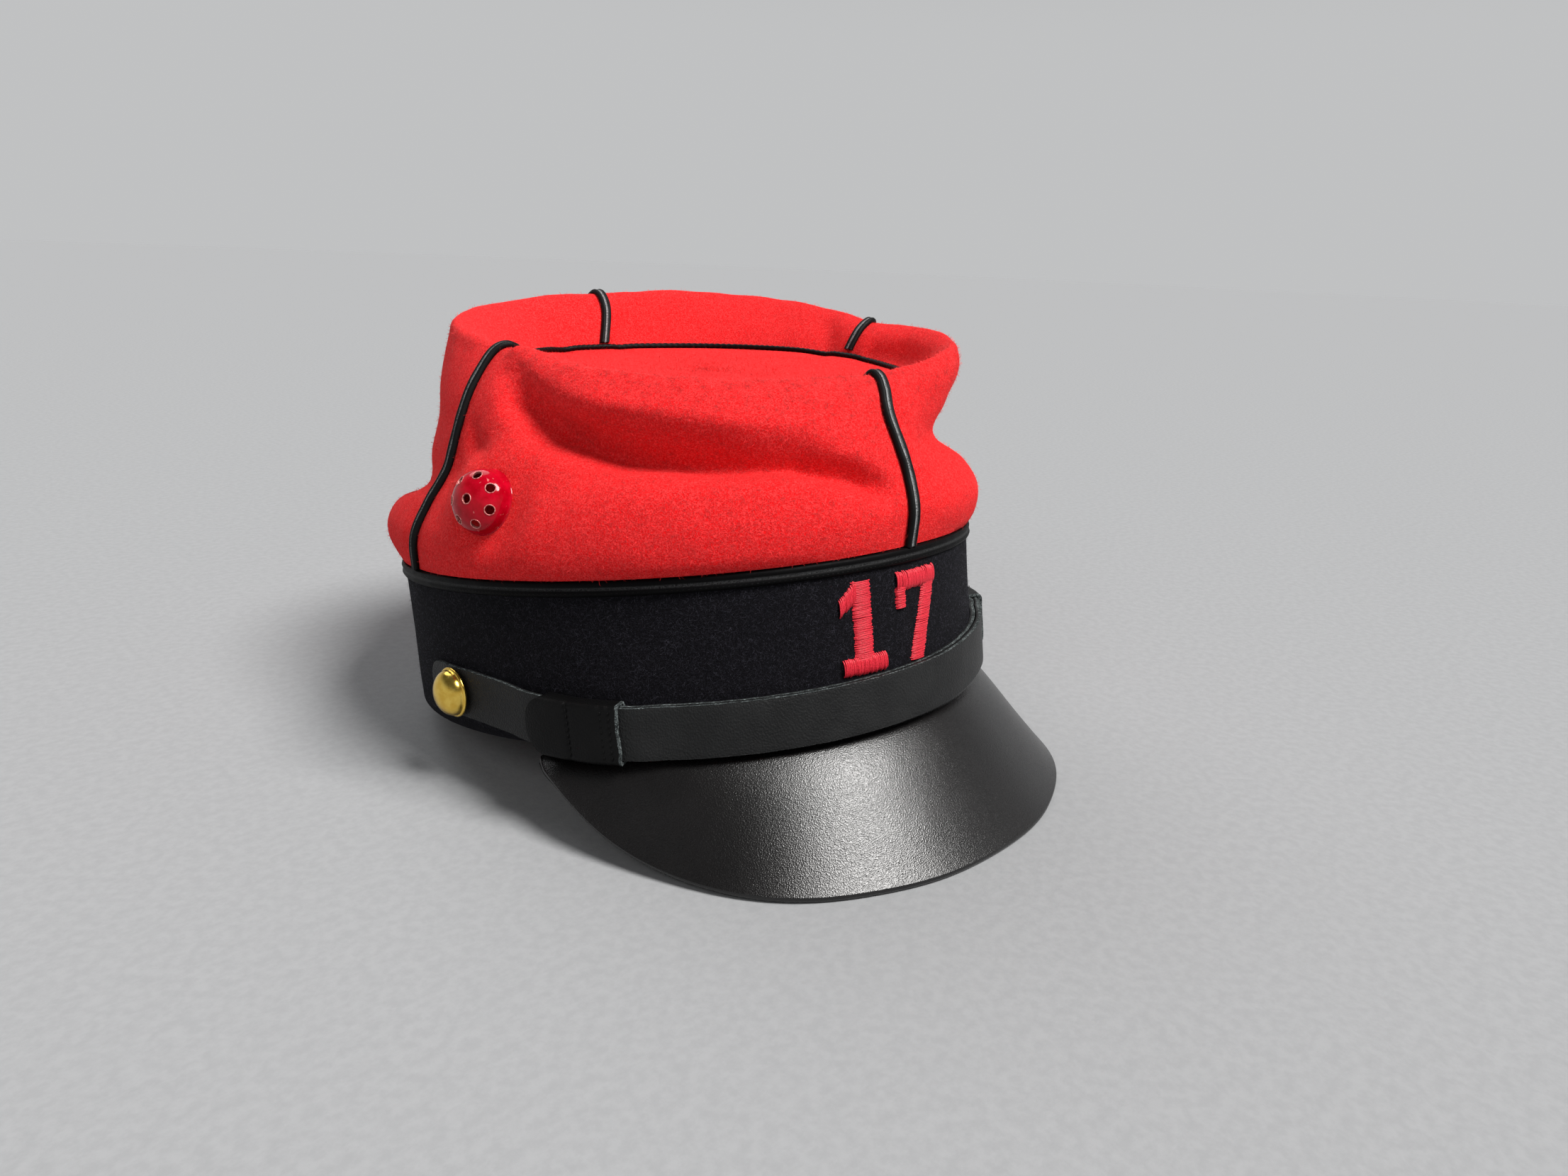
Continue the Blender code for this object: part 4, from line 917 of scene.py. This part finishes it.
def make_peak():
    """The peak: two faces with a half-round edge, and a wall against the band."""
    t, a, root, run, n = peak_lines(220)
    w = np.concatenate((np.linspace(0, 0.86, 46), np.linspace(0.875, 1, 14)))
    # a swell that dies out before the edge, and a shoulder that carries the strap
    swell = PEAK_BULGE * (1 - 0.4 * abs(t))[:, None] * (4 * w * (1 - w) * (1 - 1.08 * w))
    shoulder = PEAK_SHOULDER * ramp(w, 0.0, 0.07) * (1 - ramp(w, 0.10, 0.6))
    shoulder = shoulder * (1 - ramp(abs(t), 0.6, 0.85))[:, None]
    top = (root[:, None] + run[:, None] * w[None, :, None]
           + n[:, None] * (swell + shoulder)[..., None])
    normal = unit(np.cross(np.gradient(top, axis=0), np.gradient(top, axis=1)))
    normal = normal * np.where((normal * n[:, None]).sum(-1, keepdims=True) < 0, -1, 1)
    low = top - normal * PEAK_WALL
    # the edge is a half round between the two faces
    edge_n, edge_run = normal[:, -1], unit(top[:, -1] - top[:, -2])
    r = PEAK_WALL / 2
    mid = (top[:, -1] + low[:, -1]) / 2 - edge_run * r
    for face in (top, low):
        face[:, -1] -= edge_run * r
        face[:, -2] = (face[:, -3] + face[:, -1]) / 2
    turn = np.linspace(0, pi, 11)[1:-1]
    rim = (mid[:, None] + edge_n[:, None] * (r * np.cos(turn))[None, :, None]
           + edge_run[:, None] * (r * np.sin(turn))[None, :, None])
    inward = -band_out(a)[:, None] * PEAK_WALL
    wall = band_point(a, -0.1, -GAP)[:, None]
    low[:, 0] = (top[:, :1] + inward - UP * 0.9)[:, 0]
    section = np.concatenate((wall, top, rim, low[:, ::-1], wall + inward), 1)
    piece("peak_moulded", section, tube_faces(*section.shape[:2]), [PEAK_LEATHER], ["peak"],
          "peak_leather")


# Straps, slides and stitches


def strap_lift(a):
    """Extra stand-off of a strap near and inside the slides."""
    total = 0.0
    for near, far in SLIDES.values():
        x, near, far = a * np.sign(near), abs(near), abs(far)
        rise = ramp(x, near - STRAP_LEAD, near - 1.5)
        total = total + rise * (1 - ramp(x, far + 1.5, far + STRAP_LEAD + 1))
    return STRAP_LIFT * total


def strap_ring():
    """A strap seen end on: off and share of the half height, and which points are its edges."""
    outer = [(0.5, k) for k in (-0.985, -0.955, -0.9, -0.75, -0.5, 0.0, 0.5, 0.75, 0.9, 0.955,
                                0.985)]
    top = [(k, 1.0) for k in (0.46, 0.3, 0.1, -0.1, -0.3, -0.46)]
    ring = outer + top + [(-o, -k) for o, k in outer] + [(-o, -k) for o, k in top]
    off, up = np.array(ring).T
    soft = 0.06 * (1 - ramp(1 - abs(up), 0.0, 0.09)) * (abs(up) < 1)
    return (off - np.sign(off) * soft) * STRAP_WALL, up, abs(up) >= 1


def make_strap(name, sign, offs, node, seed):
    """A strap with softly rounded faces and raw cut edges, from its free end."""
    last = abs(SLIDES["slide_right" if sign > 0 else "slide_left"][1]) - 2.0
    a = np.concatenate((np.linspace(98.2, 95.0, 16), np.linspace(94.8, -last, 440)))
    z = curve(STRAP_PATH, sign * a)[:, 0]
    over = np.clip(STRAP_ROUND - run_along(band_point(a, 0, z)), 0, STRAP_ROUND)
    half = STRAP_HEIGHT / 2 - (STRAP_ROUND - np.sqrt(STRAP_ROUND**2 - over**2))
    off, up, edge = strap_ring()
    middle = offs(sign * a) + STRAP_WALL / 2
    points = band_point(sign * a[:, None], middle[:, None] + off[None],
                        z[:, None] + half[:, None] * up[None])
    frayed = 0.10 * rough(points, 0.5, seed) + 0.10 * rough(points, 4.0, seed + 1)
    points[..., 2] += frayed * edge[None] * np.sign(up)[None]
    wavy = 0.07 * rough(points, 6.0, seed + 2) + 0.10 * rough(points, 15.0, seed + 3)
    points = points + band_out(sign * a)[:, None] * np.maximum(wavy, -0.1)[..., None]
    n, m = points.shape[:2]
    # the cut shows pale along the outer half of the edge, and at both ends
    raw = edge & (off > -0.25)
    ids = np.tile(raw & np.roll(raw, -1), n - 1).tolist() + [True, True]
    piece(name, points, tube_faces(n, m), [STRAP_LEATHER, CUT_EDGE], [node], "strap_leather",
          ids, 50)


def make_straps():
    """The right strap against the band, and the left one over it between the slides."""
    far = SLIDES["slide_left"][1]

    def under(a):
        return 0.2 + strap_lift(a)

    def over(a):
        return under(a) + (STRAP_WALL + GAP) * (1 - ramp(a, far + 0.5, far + STRAP_LEAD + 1))
    make_strap("strap_right", -1, under, "chin_strap_right", 41)
    make_strap("strap_left", 1, over, "chin_strap_left", 44)


# Rows of stitches on a slide: degrees from its near end, half length, depth of the pinch
SLIDE_ROWS = ((1.3, 7.0, 0.22), (2.6, 7.0, 0.22), (8.2, 7.2, 0.3))
SLIDE_LAST_ROW = SLIDE_ROWS[-1][0]


def slide_section(outer):
    """Off and height round a slide's outer or inner section."""
    if outer:
        low, high, half, r = GAP * 0.6, SLIDE_HIGH + SLIDE_FRONT, SLIDE_HEIGHT / 2, 1.5
    else:
        low, high, half, r = SLIDE_LOW, SLIDE_HIGH, STRAP_HEIGHT / 2 + GAP, 0.5
    corners = ((high - r, half - r), (low + r, half - r), (low + r, r - half), (high - r, r - half))
    ring = []
    for quarter, (off, z) in enumerate(corners):
        for k in range(7):
            t = radians(90 * quarter + 15 * k)
            ring.append((off + r * cos(t), z + r * sin(t)))
    # more points along the long outer face
    face = [(high, z) for z in np.linspace(r - half, half - r, 14)[1:-1]]
    back = [(low, -z) for _, z in face]
    return ring[:14] + back + ring[14:] + face


def slide_skin(near, far, outer):
    """A slide's outer or inner skin: rings from its raw near end to its rounded far end."""
    sign = np.sign(near)
    off, z = np.array(slide_section(outer)).T
    w = np.linspace(0, 1, 60)[:, None]
    over = np.clip(abs(z) - (SLIDE_HEIGHT / 2 - SLIDE_ROUND), 0, SLIDE_ROUND)
    cut = (SLIDE_ROUND - np.sqrt(SLIDE_ROUND**2 - over**2)) * 0.45
    # the raw end wavers
    torn = 0.10 * np.sin(z * 0.7 + 0.6) + 0.04 * np.sin(z * 4.3) + 0.03 * np.sin(z * 11)
    a = (near + sign * (abs(far - near) + 0.6 - cut)[None] * w
         + sign * torn[None] * (1 - ramp(w, 0.0, 0.12)))
    # the leather is drawn in a little along each row of stitches, and swells between them
    along = abs(a - near)
    pinch = sum(deep * np.exp(-((along - row) / 0.42) ** 2) for row, _, deep in SLIDE_ROWS)
    face = ramp(off, 3.0, 5.0)[None] if outer else 0
    swell = (0.25 * np.sin(pi * np.clip(along / SLIDE_LAST_ROW, 0, 1))
             + 0.5 * np.sin(pi * np.clip((along - SLIDE_LAST_ROW) / 7.4, 0, 1)) ** 0.7) * face
    bow = (1 - (z / (SLIDE_HEIGHT / 2)) ** 2)[None]
    return band_point(a, off[None] - pinch * face + swell * (0.35 + 0.65 * bow),
                      curve(STRAP_PATH, a)[..., 0] + z[None])


def make_slides():
    """The two leather slides, each a loop round both straps, with its stitches."""
    for name, (near, far) in SLIDES.items():
        outer, inner = (slide_skin(near, far, skin) for skin in (True, False))
        n, m = outer.shape[:2]
        outer = outer + 0.06 * rough(outer, 3.0, 51)[..., None] * band_out((near + far) / 2)
        walls = [grid_faces(n, m, around=True), grid_faces(n, m, n * m, True)]
        j = np.arange(m)
        k = (j + 1) % m
        ends = [np.stack((j, k, n * m + k, n * m + j), 1) + first for first in (0, (n - 1) * m)]
        # the raw near end shows the cut, and so does the first ring of the outer skin
        ids = [1] * m + [0] * (2 * (n - 1) * m - m) + [1] * m + [0] * m
        piece(name + "_leather", np.concatenate((outer, inner)), np.concatenate(walls + ends),
              [SLIDE_LEATHER, CUT_EDGE], [name], "strap_leather", ids, 50)
        make_slide_stitches(name, near)


def stitch(start, end, out, r=0.15, rise=0.2, rings=7, sides=6):
    """Points of one stitch: a thread that rises from the leather and dips back in."""
    w = np.linspace(0, 1, rings)
    spine = start + (end - start) * w[:, None] + out * (rise * np.sin(pi * w) - 0.12)[:, None]
    return tube(spine, np.cross(unit(end - start), out), out,
                r * (0.55 + 0.45 * np.sin(pi * w)), sides)


def make_slide_stitches(name, near):
    """Rows of stitches across a slide's outer face."""
    off = SLIDE_HIGH + SLIDE_FRONT - 0.02
    tubes = []
    for row, half, _ in SLIDE_ROWS:
        a = near + np.sign(near) * row
        z = curve(STRAP_PATH, a)[0] + np.arange(-half, half, 1.75)
        tubes += [stitch(band_point(a, off, foot + 0.25), band_point(a, off, foot + 1.35),
                         band_out(a)) for foot in z]
    piece(name + "_stitches", *join_tubes(tubes), [BLACK_THREAD], (), "strap_leather")


# Buttons and vents


def frame_at(out):
    """Two directions across a surface whose outward direction is out."""
    side = unit(np.cross(UP, out))
    return side, unit(np.cross(out, side))


def turned(mid, out, r, h, turns):
    """A grid of points turned round an axis from radii and heights."""
    side, up = frame_at(out)
    t = circle(turns)[:, None]
    r, h = (np.asarray(x, float)[:, None, None] for x in (r, h))
    return mid + r * (side * np.cos(t) + up * np.sin(t))[None] + h * out


def make_buttons():
    """Domed buttons, each a shell closed over a back plate: flat back, rolled rim, dome."""
    t = np.radians(np.linspace(-90, 90, 9))
    q = np.linspace(0, 1, 22)[1:-1] * pi / 2
    r = np.concatenate(([3.0, 6.0], 6.85 + 0.55 * np.cos(t), 6.75 * np.cos(q), [0.25]))
    h = np.concatenate(([0.2, 0.2], 0.75 + 0.55 * np.sin(t), 1.25 + BUTTON_DOME * np.sin(q),
                        [1.25 + BUTTON_DOME]))
    for name, sign in (("button_right", -1), ("button_left", 1)):
        out = band_out(sign * BUTTON_ANGLE)
        mid = band_point(sign * BUTTON_ANGLE, 2 * GAP + STRAP_WALL + 0.15, BUTTON_Z)
        grid = turned(mid, out, r, h, 72)
        n, m = grid.shape[:2]
        points = np.concatenate((grid.reshape(-1, 3), grid[:1].mean(1), grid[-1:].mean(1)))
        faces = grid_faces(n, m, around=True).tolist()
        faces += fan(0, m, n * m) + fan(n * m - m, m, n * m + 1)
        piece(name + "_brass", points, faces, [BRASS], [name], "button_brass", sharp=40)


def make_vents():
    """Domed vents on skirts that follow the felt, drilled with holes."""
    turns = 96
    for name, key in (("vent_right", "fr"), ("vent_left", "fl")):
        seat = panel_point(key, VENT_S, VENT_V)
        out = unit(np.array(VENT_AXIS[key]))
        felt = felt_tree(key)
        # height over the seat at which a ray down the axis meets the felt
        foot = np.array([DROP_FROM - felt.ray_cast(Vector(p), Vector(-out))[3]
                         for p in turned(seat, out, [VENT_R], [DROP_FROM], turns)[0]])
        rim = foot.max() + VENT_STEP

        def follow(r, level):
            return turned(seat, out, [r], [0], turns) + out * level[None, :, None]
        skirt = [follow(VENT_R + VENT_FLARE * (1 - k) ** 3, foot * (1 - k) + rim * k)
                 for k in (0.0, 0.33, 0.67, 0.9)]
        q = np.linspace(0, 1, 26) * pi / 2
        r, h = VENT_R * np.cos(q), rim + VENT_DOME * np.sin(q)
        r[-1] = 0.15
        inner_r = np.maximum(r - VENT_WALL * np.cos(q), 0.12)
        inner_h = h - VENT_WALL * np.sin(q)
        grid = np.concatenate((*skirt, turned(seat, out, r, h, turns),
                               turned(seat, out, inner_r[::-1], inner_h[::-1], turns),
                               follow(VENT_R - VENT_WALL, foot)))
        faces = grid_faces(len(grid), turns, around=True, along=True)
        # the two poles touch through the wall of the dome, so that strip is left out
        pole = len(skirt) + len(r) - 1
        row = np.repeat(np.arange(len(grid)), turns)
        faces = faces[row != pole].tolist()
        faces += [list(range(line * turns, (line + 1) * turns)) for line in (pole, pole + 1)]
        body = piece(name + "_dome", grid, faces, [ENAMEL, WORN_RIM], [name], "vent_enamel",
                     sharp=50)
        drill_vent(body, name, seat + out * (rim - VENT_FOCUS), out)


def felt_tree(key):
    """The panel's felt as a tree that rays can be cast at."""
    s, v = np.meshgrid(np.linspace(0.02, 0.6, 80), np.linspace(0.02, 0.6, 70), indexing="ij")
    skin, _ = felt_shape(key, s, v)
    return BVHTree.FromPolygons([Vector(p) for p in skin.reshape(-1, 3)],
                                grid_faces(*s.shape).tolist())


def drill_vent(body, name, focus, out):
    """Cut the ring of holes and the middle one, and lay a worn rim round each."""
    side, up = frame_at(out)
    lean = radians(VENT_RING_TILT)
    axes = [out]
    for k in range(VENT_HOLES):
        t = 2 * pi * (k + 0.5) / VENT_HOLES
        axes.append(out * cos(lean) + (side * cos(t) + up * sin(t)) * sin(lean))
    tree = BVHTree.FromPolygons([v.co / MM for v in body.data.vertices],
                                [tuple(p.vertices) for p in body.data.polygons])
    bars, rims = [], []
    for axis in axes:
        one, two = frame_at(axis)
        turn = circle(28)[:, None]
        ring = one * np.cos(turn) + two * np.sin(turn)
        # cut from inside the dome to well outside it
        bars.append(np.stack([focus + axis * far + ring * VENT_HOLE_R
                              for far in (DRILL_FROM, DRILL_TO)]))
        start = focus + ring * (VENT_HOLE_R + 0.02)
        ray = Vector((stand(focus) - stand(focus + axis)) / MM)
        line = np.array([tree.ray_cast(Vector(p), ray)[3]
                         for p in stand(start + axis * DRILL_TO) / MM])
        rims.append(tube(start + axis * (DRILL_TO - line)[:, None], ring, axis, WORN_RIM_R, 7))
    tool = piece("drill", *join_tubes(bars), [WORN_RIM])
    cut = body.modifiers.new("holes", "BOOLEAN")
    cut.solver = "EXACT"
    cut.object = tool
    graph = bpy.context.evaluated_depsgraph_get()
    solid = body.data
    body.data = bpy.data.meshes.new_from_object(body.evaluated_get(graph))
    body.modifiers.clear()
    for spare in (solid, tool.data):
        bpy.data.meshes.remove(spare)
    piece(name + "_hole_rims", *join_tubes(rims, True), [WORN_RIM], (), "vent_enamel")


# Number


# Strokes of the digits: corners of the stroke's two long sides, the threads running from one
# side to the other, as side and height from the digit's middle
DIGIT_STROKES = {
    "number_first": (
        ((-2.6, 3.6), (-2.6, 25.0), (2.6, 3.6), (2.6, 25.0)),
        ((-6.9, 16.6), (-2.0, 20.0), (-6.9, 20.6), (-2.0, 25.0)),
        ((-6.8, 0.0), (6.8, 0.0), (-6.8, 4.2), (6.8, 4.2)),
    ),
    "number_second": (
        ((-3.6, 0.0), (3.2, 20.9), (1.7, 0.0), (8.0, 20.9)),
        ((-8.0, 15.6), (-8.0, 21.0), (-5.0, 15.6), (-5.0, 21.0)),
        ((-8.0, 20.5), (8.0, 20.5), (-8.0, 25.0), (8.0, 25.0)),
    ),
}


def make_digits():
    """The two digits in satin stitch."""
    rng = np.random.default_rng(61)
    for (name, strokes), mid in zip(DIGIT_STROKES.items(), DIGIT_X):
        tubes = []
        for order, corners in enumerate(strokes):
            a0, a1, b0, b1 = np.array(corners)
            count = int(np.linalg.norm((a1 + b1 - a0 - b0) / 2) / THREAD_PITCH)
            for k in range(count + 1):
                w = k / count
                one, two = a0 + (a1 - a0) * w, b0 + (b1 - b0) * w
                way = (two - one) / np.linalg.norm(two - one)
                along = np.array((-way[1], way[0]))
                one = one - way * rng.uniform(0.0, 0.55) + along * rng.normal(0, 0.08)
                two = two + way * rng.uniform(0.0, 0.55) + along * rng.normal(0, 0.08)
                high = 0.62 + 0.16 * order + rng.uniform(-0.06, 0.06)
                tubes.append(thread(mid, one, two, high))
        piece(name + "_stitching", *join_tubes(tubes), [RED_THREAD], [name], "digit_thread",
              sharp=80)


def thread(mid, one, two, high):
    """One satin stitch over a stroke, highest in the stroke's middle."""
    w = np.linspace(0, 1, 11)
    flat = one + (two - one) * w[:, None]
    angles = angle_at(mid + flat[:, 0])
    spine = band_point(angles, 0.02 + high * np.sin(pi * w) ** 0.42, DIGIT_FOOT_Z + flat[:, 1])
    ahead = unit(np.gradient(spine, axis=0))
    side = unit(np.cross(ahead, band_out(angles)))
    return tube(spine, side, np.cross(side, ahead), THREAD_R, 6)


# Stage, lights and camera


# Strength of the light from the studio's wall and from its ceiling
WALL_LIGHT, CEILING_LIGHT = 0.54, 0.10
# In metres
FLOOR_RADIUS = 9.0


def make_stage():
    """A plain pale floor."""
    f = Finish("floor_pale", Roughness=0.95, gloss=0.0)
    f.tone(f.noise(3.0, 4.0, 0.6), (0.270, 0.275, 0.282), (0.296, 0.301, 0.308))
    f.relief((f.noise(1.2, 3.0, 0.6), 0.08))
    mesh = bpy.data.meshes.new("floor")
    bm = bmesh.new()
    bmesh.ops.create_circle(bm, cap_ends=True, segments=96, radius=FLOOR_RADIUS)
    bm.to_mesh(mesh)
    bm.free()
    mesh.materials.append(f.material)
    floor = add_object("floor", mesh)


def direction(azimuth, elevation):
    """The way out of the cap towards an azimuth, which is 0 in front, and an elevation."""
    az, el = radians(azimuth), radians(elevation)
    return Vector((sin(az) * cos(el), -cos(az) * cos(el), sin(el)))


def add_light(name, azimuth, elevation, power, width, colour):
    """A distant light from a direction, as wide in the sky as given, in degrees."""
    data = bpy.data.lights.new(name, "SUN")
    data.energy = power
    data.angle = radians(width)
    data.color = colour
    light = add_object(name, data)
    way = direction(azimuth, elevation)
    light.location = way * 1.5
    light.rotation_euler = (-way).to_track_quat("-Z", "Y").to_euler()
    return light


def make_lights():
    """A soft key light from the front, a back light, a weak fill and a studio round them."""
    add_light("key", 18, 56, 5.1, 23, (1.0, 0.985, 0.965))
    add_light("back", 170, 48, 1.0, 40, (0.98, 0.99, 1.0))
    # a soft fill from the wearer's right that leaves no reflection of its own
    add_light("fill", -72, 40, 0.5, 30, (1.0, 0.99, 0.98)).visible_glossy = False
    # a pale wall all round, and a dim ceiling over it
    world = bpy.data.worlds.new("studio")
    world.use_nodes = True
    tree = world.node_tree
    place = add_node(tree, "TexCoord").outputs["Generated"]
    height = add_node(tree, "SeparateXYZ", {"Vector": place}).outputs["Z"]
    light = add_node(tree, "MapRange", {"Value": height, "From Min": 0.16, "From Max": 0.6,
                                        "To Min": WALL_LIGHT, "To Max": CEILING_LIGHT},
                     interpolation_type="SMOOTHSTEP").outputs["Result"]
    sky = tree.nodes["Background"].inputs
    tree.links.new(light, sky["Strength"])
    sky["Color"].default_value = (0.98, 0.99, 1.0, 1)
    bpy.context.scene.world = world
    bpy.context.scene.view_settings.view_transform = "Standard"


# The photograph's camera, fitted to the cap's outlines, in the resting frame
CAMERA_AZIMUTH, CAMERA_ELEVATION, CAMERA_ROLL = -45.05, 17.32, 2.44
CAMERA_TARGET = (-12.54, -55.57, 60.0)
CAMERA_DISTANCE = 319.62
CAMERA_FOCAL_PX, PHOTO_WIDTH_PX = 1533.3, 2212


def make_camera():
    """The camera, at the photograph's angle to the cap."""
    roll = radians(CAMERA_ROLL)
    back = direction(CAMERA_AZIMUTH, CAMERA_ELEVATION)
    target = Vector(CAMERA_TARGET) + Vector((0, Y0, 0))
    right = (-back).cross(Vector((0, 0, 1))).normalized()
    up = right.cross(-back)
    x = right * cos(roll) + up * sin(roll)
    y = up * cos(roll) - right * sin(roll)
    data = bpy.data.cameras.new("camera")
    data.sensor_width = 36.0
    data.lens = CAMERA_FOCAL_PX / PHOTO_WIDTH_PX * data.sensor_width
    data.clip_start = 0.01
    camera = add_object("camera", data)
    turn = Matrix((x, y, back)).transposed().to_4x4()
    camera.matrix_world = Matrix.Translation((target + back * CAMERA_DISTANCE) * MM) @ turn
    bpy.context.scene.camera = camera


make_camera()
make_panels()
make_disc()
make_seam_braids()
make_base_braid()
make_piping()
make_band()
make_peak()
make_straps()
make_slides()
make_buttons()
make_vents()
make_digits()
make_stage()
make_lights()
